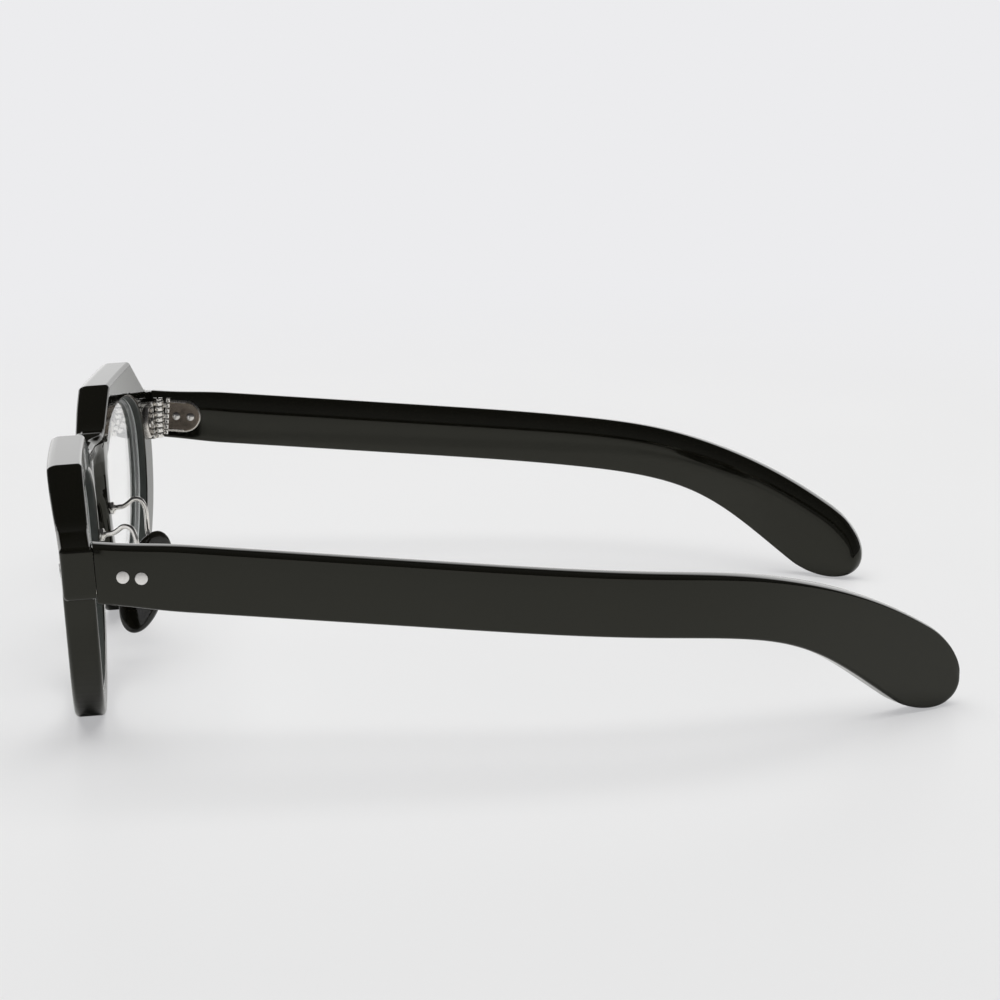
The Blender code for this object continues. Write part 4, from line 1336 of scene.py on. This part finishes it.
@dataclass(frozen=True)
class PadArm:
    """A nose pad on its bent wire arm, with the clip and the screw that it rocks on."""

    pad_height: float = 0.0146
    pad_width: float = 0.0078
    pad_face: float = 0.0013
    pad_back: float = 0.0010
    pad_inset: float = 0.0027
    pad_standoff: float = 0.0056
    pad_drop: float = 0.01385
    pad_splay: float = 24.0
    pad_lean_in: float = 13.0
    pad_lean_back: float = 16.4
    pivot_reach: float = 0.0020
    boss_width: float = 0.0013
    boss_half_height: float = 0.0010
    boss_beyond_pivot: float = 0.0007
    clip_clearance: float = 0.0003
    clip_wall: float = 0.0005
    clip_half_height: float = 0.0013
    clip_pad_gap: float = 0.0003
    screw_radius: float = 0.0004
    head_radius: float = 0.0007
    head_height: float = 0.0004
    head_gap: float = 0.0001
    slot: Slot = Slot(0.0002, 0.00018)
    wire_radius: float = 0.00045
    foot_in: float = 0.0013
    foot_drop: float = 0.0032
    stem_radius: float = 0.0006
    stem_depth: float = 0.0024
    collar_radius: float = 0.0011
    collar_height: float = 0.0012
    collar_disc: float = 0.0007
    bulb_radius: float = 0.00062
    collar_gap: float = 0.0001
    descent: float = 0.0034
    bends: tuple[tuple[float, float, float], ...] = (
        (0.0000, 0.0016, 0.0002),
        (0.0001, 0.0023, 0.0003),
        (0.0002, 0.0031, 0.0008),
        (0.0004, 0.0039, 0.0014),
        (0.0006, 0.0048, 0.0015),
        (0.0008, 0.0056, 0.0010),
        (0.0010, 0.0061, -0.0001),
        (0.0011, 0.0063, -0.0014),
        (0.0012, 0.0064, -0.0043),
    )
    wire_sides: int = 18
    wire_steps: int = 8
    pad_points: int = 72
    pad_rings: int = 22
    pad_cap: float = 0.25
    pad_edge_power: float = 0.55
    pad_face_power: float = 0.7
    disc_round: float = 0.35
    bulb_segments: tuple[int, int] = (24, 16)
    small_edge: float = 0.00012

    @property
    def pad_frame(self) -> Matrix:
        """The left pad's frame: X away from the nose, Y to its rear edge and Z up along it."""
        middle = Vector((
            OPENING.gap / 2 - self.pad_inset,
            FRONT.setback + self.pad_standoff,
            OPENING.middle.y - self.pad_drop,
        ))
        turn = Matrix.Rotation(-math.radians(self.pad_lean_back), 4, "X")
        turn @= Matrix.Rotation(-math.radians(self.pad_lean_in), 4, "Y")
        turn @= Matrix.Rotation(-math.radians(self.pad_splay), 4, "Z")
        return Matrix.Translation(middle) @ turn

    @property
    def foot(self) -> Matrix:
        """The frame on the rim's rear face where the arm is let in, with Z out of the face."""
        return FRONT.frame_at(OPENING.gap / 2 - self.foot_in, OPENING.middle.y - self.foot_drop, 0)

    @property
    def clip_floor(self) -> float:
        """Distance from the pad's middle plane to the inside of the clip's floor."""
        return self.pivot_reach + self.boss_beyond_pivot + self.clip_clearance

    def wire(self) -> BMesh:
        """Return the bent wire from the collar down into the clip."""
        foot = self.foot
        depth = self.clip_floor + self.clip_wall / 2
        start = foot @ Vector((0, 0, self.collar_gap))
        bends = [foot.translation + Vector(bend) for bend in self.bends]
        above = self.pad_frame @ Vector((depth, 0, self.descent))
        inside = self.pad_frame @ Vector((depth, 0, -self.clip_half_height / 2))
        path = smooth_path([start, *bends, above, inside], self.wire_steps)
        turn = foot.to_3x3()
        rings = []
        for index, here in enumerate(path):
            ahead = path[min(index + 1, len(path) - 1)] - path[max(index - 1, 0)]
            turn = turn.col[2].rotation_difference(ahead).to_matrix() @ turn
            ring = []
            for side in range(self.wire_sides):
                angle = 2 * math.pi * side / self.wire_sides
                ring.append(here + turn @ Vector((math.cos(angle), math.sin(angle), 0)) * self.wire_radius)
            rings.append(ring)
        return bar(self.wire_sides, len(rings) - 1, lambda number, station: rings[station][number])

    def collar(self) -> BMesh:
        """Return the stem that is let into the rim, with its disc and the bulb that the wire grows from."""
        top = self.collar_gap + self.collar_disc
        mesh = turned([
            (0, -self.stem_depth), (self.stem_radius, -self.stem_depth), (self.stem_radius, self.collar_gap),
            (self.collar_radius, self.collar_gap), (self.collar_radius, top), (0, top)])
        rim = [edge for edge in sharp_edges(mesh) if edge.verts[0].co.z > self.collar_gap]
        bevel(mesh, rim, self.collar_disc * self.disc_round, ROUND_SEGMENTS)
        bulb = bmesh.new()
        round_steps, height_steps = self.bulb_segments
        bmesh.ops.create_uvsphere(
            bulb, u_segments=round_steps, v_segments=height_steps, radius=self.bulb_radius)
        middle = self.collar_gap + self.collar_height - self.bulb_radius
        bmesh.ops.translate(bulb, vec=(0, 0, middle), verts=bulb.verts)
        return placed(joined([mesh, bulb]), self.foot)

    def clip(self) -> BMesh:
        """Return the U clip round the pad's boss."""
        inner = self.boss_width / 2 + self.clip_clearance
        outer = inner + self.clip_wall
        mouth = self.pad_back + self.clip_pad_gap
        base = self.clip_floor + self.clip_wall
        mesh = slab([
            Vector((mouth, -outer)), Vector((base, -outer)), Vector((base, outer)), Vector((mouth, outer)),
            Vector((mouth, inner)), Vector((self.clip_floor, inner)), Vector((self.clip_floor, -inner)),
            Vector((mouth, -inner))], -self.clip_half_height, self.clip_half_height)
        bevel(mesh, sharp_edges(mesh), self.small_edge, EDGE_SEGMENTS)
        return placed(mesh, self.pad_frame)

    def arm(self) -> BMesh:
        """Return the whole arm: stem, collar, wire and clip."""
        return joined([self.collar(), self.wire(), self.clip()])

    def pad(self) -> BMesh:
        """Return the pad: an oval with a domed face towards the nose, a flat back and a boss."""
        def place(number: int, station: int) -> Vector:
            """Return a point of the pad by its number round the oval and its ring."""
            turn = math.pi * (station + self.pad_cap) / (self.pad_rings + 2 * self.pad_cap)
            share = math.sin(turn) ** self.pad_edge_power
            level = -math.copysign(abs(math.cos(turn)) ** self.pad_face_power, math.cos(turn))
            depth = level * (self.pad_face if level < 0 else self.pad_back)
            angle = 2 * math.pi * number / self.pad_points
            return Vector((
                depth,
                share * self.pad_width / 2 * math.cos(angle),
                share * self.pad_height / 2 * math.sin(angle),
            ))

        oval = bar(self.pad_points, self.pad_rings, place)
        half = self.boss_width / 2
        boss = block((self.pad_back / 2, -half, -self.boss_half_height),
                     (self.pivot_reach + self.boss_beyond_pivot, half, self.boss_half_height))
        bevel(boss, boss.edges[:], self.small_edge, EDGE_SEGMENTS)
        return placed(joined([oval, boss]), self.pad_frame)

    def screw(self) -> BMesh:
        """Return the slotted screw that the pad rocks on."""
        half = self.boss_width / 2 + self.clip_clearance + self.clip_wall
        mesh = slotted_screw(
            self.screw_radius, -half, half + self.head_gap, self.head_radius, self.head_height, self.slot)
        pivot = self.pad_frame @ Matrix.Translation((self.pivot_reach, 0, 0))
        return placed(mesh, pivot @ Matrix.Rotation(-math.pi / 2, 4, "X"))


PAD_ARM = PadArm()


@dataclass
class Workshop:
    """Turns left-hand meshes into pieces of the model, on either side."""

    shift: Vector
    made: int = 0

    def publish(self, name: str, mesh: BMesh, finishes: Sequence[Finish], body: str, node: str,
                side: Side = Side.LEFT) -> Object:
        """Make a piece that rides on a body and stands for a solid.

        Args:
            name: the piece's name.
            mesh: its left-hand shape in the table frame, which is used up.
            finishes: its finishes, in the order of its faces' material numbers.
            body: the body that carries it.
            node: the solid that it stands for.
            side: the side of the pair that it goes on.

        Returns:
            The piece.
        """
        bmesh.ops.translate(mesh, vec=self.shift, verts=mesh.verts)
        if side is Side.RIGHT:
            bmesh.ops.scale(mesh, vec=(-1, 1, 1), verts=mesh.verts)
        bmesh.ops.recalc_face_normals(mesh, faces=mesh.faces)
        data = stored(name, mesh)
        data.shade_smooth()
        data.set_sharp_from_angle(angle=math.radians(SHARP_ANGLE))
        for finish in finishes:
            data.materials.append(finish.material())
        piece = add_object(name, data)
        even = piece.modifiers.new("even_normals", "WEIGHTED_NORMAL")
        even.keep_sharp = True
        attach(piece, body)
        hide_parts(node)
        self.made += 1
        LOG.info("%2d %s: %d faces on %s", self.made, name, len(data.polygons), body)
        return piece

    def pair(self, name: str, build: Callable[[], BMesh], finishes: Sequence[Finish], body: str,
             node: str) -> list[Object]:
        """Publish a piece on both sides, with the side's name in place of the word SIDE.

        Args:
            name: the pieces' name.
            build: makes their left-hand shape.
            finishes: their finishes, in the order of their faces' material numbers.
            body: the body that carries each of them.
            node: the solid that each of them stands for.

        Returns:
            The left piece and the right one.
        """
        pieces = []
        for side in Side:
            own = [text.replace("SIDE", side.label) for text in (name, body, node)]
            pieces.append(self.publish(own[0], build(), finishes, own[1], own[2], side))
        return pieces


@dataclass(frozen=True)
class Studio:
    """The table, a bright wall behind it, a soft lamp over it and the camera at the photograph's angle."""

    shift: Vector
    camera_place: tuple[float, float, float] = (0.487838, 0.040112, 0.129770)
    heading: float = 177.005
    pitch: float = -11.965
    roll: float = -0.425
    focal_length: float = 101.57
    sensor: float = 36.0
    near_limit: float = 0.01
    table_size: float = 40.0
    table_cells: int = 8
    table_level: float = -0.00002
    wall_distance: float = 0.9
    wall_width: float = 2.4
    wall_height: float = 0.7
    wall_glow: float = 1.35
    wall_fade: tuple[float, float] = (0.36, 0.58)
    lamp_place: tuple[float, float, float] = (-0.05, 0.0, 1.10)
    lamp_size: float = 1.6
    lamp_power: float = 17.4
    fill: float = 0.068
    overhead: float = 0.05
    horizon: float = 0.20
    glow_height: float = 0.6
    surroundings: str = "#ececee"

    def camera(self) -> Object:
        """Add the camera."""
        data = bpy.data.cameras.new("camera")
        data.lens = self.focal_length
        data.sensor_width = self.sensor
        data.clip_start = self.near_limit
        turn = math.radians(self.heading)
        rise = math.radians(self.pitch)
        forward = Vector((
            math.cos(turn) * math.cos(rise), math.sin(turn) * math.cos(rise), math.sin(rise)))
        level = forward.cross(Vector((0, 0, 1))).normalized()
        right = Matrix.Rotation(-math.radians(self.roll), 3, forward) @ level
        up = right.cross(forward)
        camera = add_object("camera", data)
        camera.matrix_world = axes_at(Vector(self.camera_place) + self.shift, right, up)
        bpy.context.scene.camera = camera
        return camera

    def set_up(self, name: str, mesh: BMesh, material: Material) -> Object:
        """Add a surface that isn't part of the object."""
        data = stored(name, mesh)
        data.materials.append(material)
        surface = add_object(name, data)
        return surface

    def table(self) -> Object:
        """Add the white table top."""
        mesh = bmesh.new()
        bmesh.ops.create_grid(
            mesh, x_segments=self.table_cells, y_segments=self.table_cells, size=self.table_size / 2)
        bmesh.ops.translate(mesh, vec=(0, 0, self.table_level), verts=mesh.verts)
        return self.set_up("table_top", mesh, TABLE.material())

    def wall(self) -> Object:
        """Add the bright wall that polished tops mirror, which fades towards its upper edge."""
        mesh = bmesh.new()
        bmesh.ops.create_grid(mesh, x_segments=1, y_segments=1, size=0.5)
        bmesh.ops.scale(mesh, vec=(self.wall_height, self.wall_width, 1), verts=mesh.verts)
        bmesh.ops.rotate(mesh, matrix=Matrix.Rotation(math.pi / 2, 3, "Y"), verts=mesh.verts)
        bmesh.ops.translate(mesh, vec=(-self.wall_distance, 0, self.wall_height / 2), verts=mesh.verts)
        glow = bpy.data.materials.new("wall_glow")
        glow.use_nodes = True
        tree = glow.node_tree
        place = add_node(tree, "ShaderNodeTexCoord")
        height = add_node(tree, "ShaderNodeSeparateXYZ", None, {0: place.outputs["Object"]})
        fade = add_node(tree, "ShaderNodeMapRange", {"interpolation_type": "SMOOTHSTEP"}, {
            "Value": height.outputs["Z"], "From Min": self.wall_fade[0], "From Max": self.wall_fade[1],
            "To Min": self.wall_glow, "To Max": 0.0})
        shine = add_node(tree, "ShaderNodeEmission", None, {"Strength": fade.outputs["Result"]})
        tree.links.new(shine.outputs[0], tree.nodes["Material Output"].inputs["Surface"])
        wall = self.set_up("bright_wall", mesh, glow)
        wall.visible_camera = False
        wall.visible_diffuse = False
        wall.visible_transmission = False
        return wall

    def lamp(self) -> Object:
        """Add the soft lamp over the table, which polished faces don't mirror."""
        data = bpy.data.lights.new("soft_lamp", "AREA")
        data.size = self.lamp_size
        data.energy = self.lamp_power
        lamp = add_object("soft_lamp", data)
        lamp.location = self.lamp_place
        lamp.visible_camera = False
        lamp.visible_glossy = False
        lamp.visible_transmission = False
        return lamp

    def world(self) -> None:
        """Add surroundings: a pale ground to a viewer, paler low down in a mirror, and dim as light."""
        world = bpy.data.worlds.new("studio")
        world.use_nodes = True
        bpy.context.scene.world = world
        tree = world.node_tree
        place = add_node(tree, "ShaderNodeTexCoord")
        height = add_node(tree, "ShaderNodeSeparateXYZ", None, {0: place.outputs["Generated"]})
        glow = add_node(tree, "ShaderNodeMapRange", None, {
            "Value": height.outputs["Z"], "From Max": self.glow_height,
            "To Min": self.horizon, "To Max": self.overhead})
        path = add_node(tree, "ShaderNodeLightPath")
        mirrored = add_node(tree, "ShaderNodeMapRange", None, {
            "Value": path.outputs["Is Glossy Ray"], "To Min": self.fill, "To Max": glow.outputs["Result"]})
        strength = add_node(tree, "ShaderNodeMapRange", None, {
            "Value": seen_directly(tree), "To Min": mirrored.outputs["Result"], "To Max": 1.0})
        tree.links.new(strength.outputs["Result"], tree.nodes["Background"].inputs["Strength"])
        tree.nodes["Background"].inputs["Color"].default_value = linear(self.surroundings)


def packed_shift() -> Vector:
    """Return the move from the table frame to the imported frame, from the place of the left hinge."""
    fold = next(joint for joint in frame["joints"] if joint["name"] == "left_temple_fold")
    return Vector(fold["pos_m"]) - HINGE.axis_point


def main() -> None:
    """Build every piece, the table, the light and the camera."""
    logging.basicConfig(level=logging.INFO, format="%(message)s")
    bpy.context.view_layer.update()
    bpy.context.scene.view_settings.view_transform = "Standard"
    shift = packed_shift()
    workshop = Workshop(shift)
    acetates = (ACETATE, MILLED_ACETATE_SHEEN, GROOVE_LIP_HIGHLIGHT)
    leaf_metals = (LEAF_METAL, LEAF_FACE_SHADE, HINGE_METAL)
    rivet_metals = (RIVET_METAL, DOME_METAL)
    front_leaf = partial(HINGE.leaf, HINGE.foot, HINGE.front_leaf_length, 0)
    temple_leaf = partial(HINGE.leaf, HINGE.temple_foot, HINGE.temple_leaf_length, 1)
    workshop.publish("acetate_front", FRONT.build(), acetates, "front", "front_frame")
    for lens in workshop.pair("SIDE_clear_lens", Lens().build, (LENS_RESIN, LENS_EDGE), "front", "SIDE_lens"):
        lens.visible_shadow = False
    workshop.pair("SIDE_temple_bar", TEMPLE.build, (ACETATE,), "SIDE_temple", "SIDE_temple")
    workshop.pair("SIDE_front_leaf", front_leaf, leaf_metals, "front", "SIDE_front_hinge_leaf")
    workshop.pair("SIDE_temple_leaf", temple_leaf, leaf_metals, "SIDE_temple", "SIDE_temple_hinge_leaf")
    workshop.pair("SIDE_hinge_pin", HINGE.screw, (HINGE_METAL,), "front", "SIDE_hinge_screw")
    for number, (front_reach, temple_reach) in enumerate(zip(FRONT_RIVET.reaches, TEMPLE_RIVET.reaches), 1):
        front_rivet = partial(FRONT_RIVET.build, HINGE.foot, front_reach)
        temple_rivet = partial(TEMPLE_RIVET.build, HINGE.temple_foot, temple_reach)
        workshop.pair(
            f"SIDE_front_pin_{number}", front_rivet, rivet_metals, "front", f"SIDE_front_rivet_{number}")
        workshop.pair(
            f"SIDE_temple_pin_{number}", temple_rivet, rivet_metals, "SIDE_temple",
            f"SIDE_temple_rivet_{number}")
    workshop.pair("SIDE_wire_arm", PAD_ARM.arm, (HINGE_METAL,), "front", "SIDE_pad_arm")
    workshop.pair("SIDE_oval_pad", PAD_ARM.pad, (PAD_PLASTIC,), "SIDE_pad", "SIDE_nose_pad")
    workshop.pair("SIDE_pad_pin", PAD_ARM.screw, (HINGE_METAL,), "front", "SIDE_pad_screw")
    studio = Studio(shift)
    studio.table()
    studio.wall()
    studio.lamp()
    studio.world()
    studio.camera()


if __name__ == "__main__":
    main()
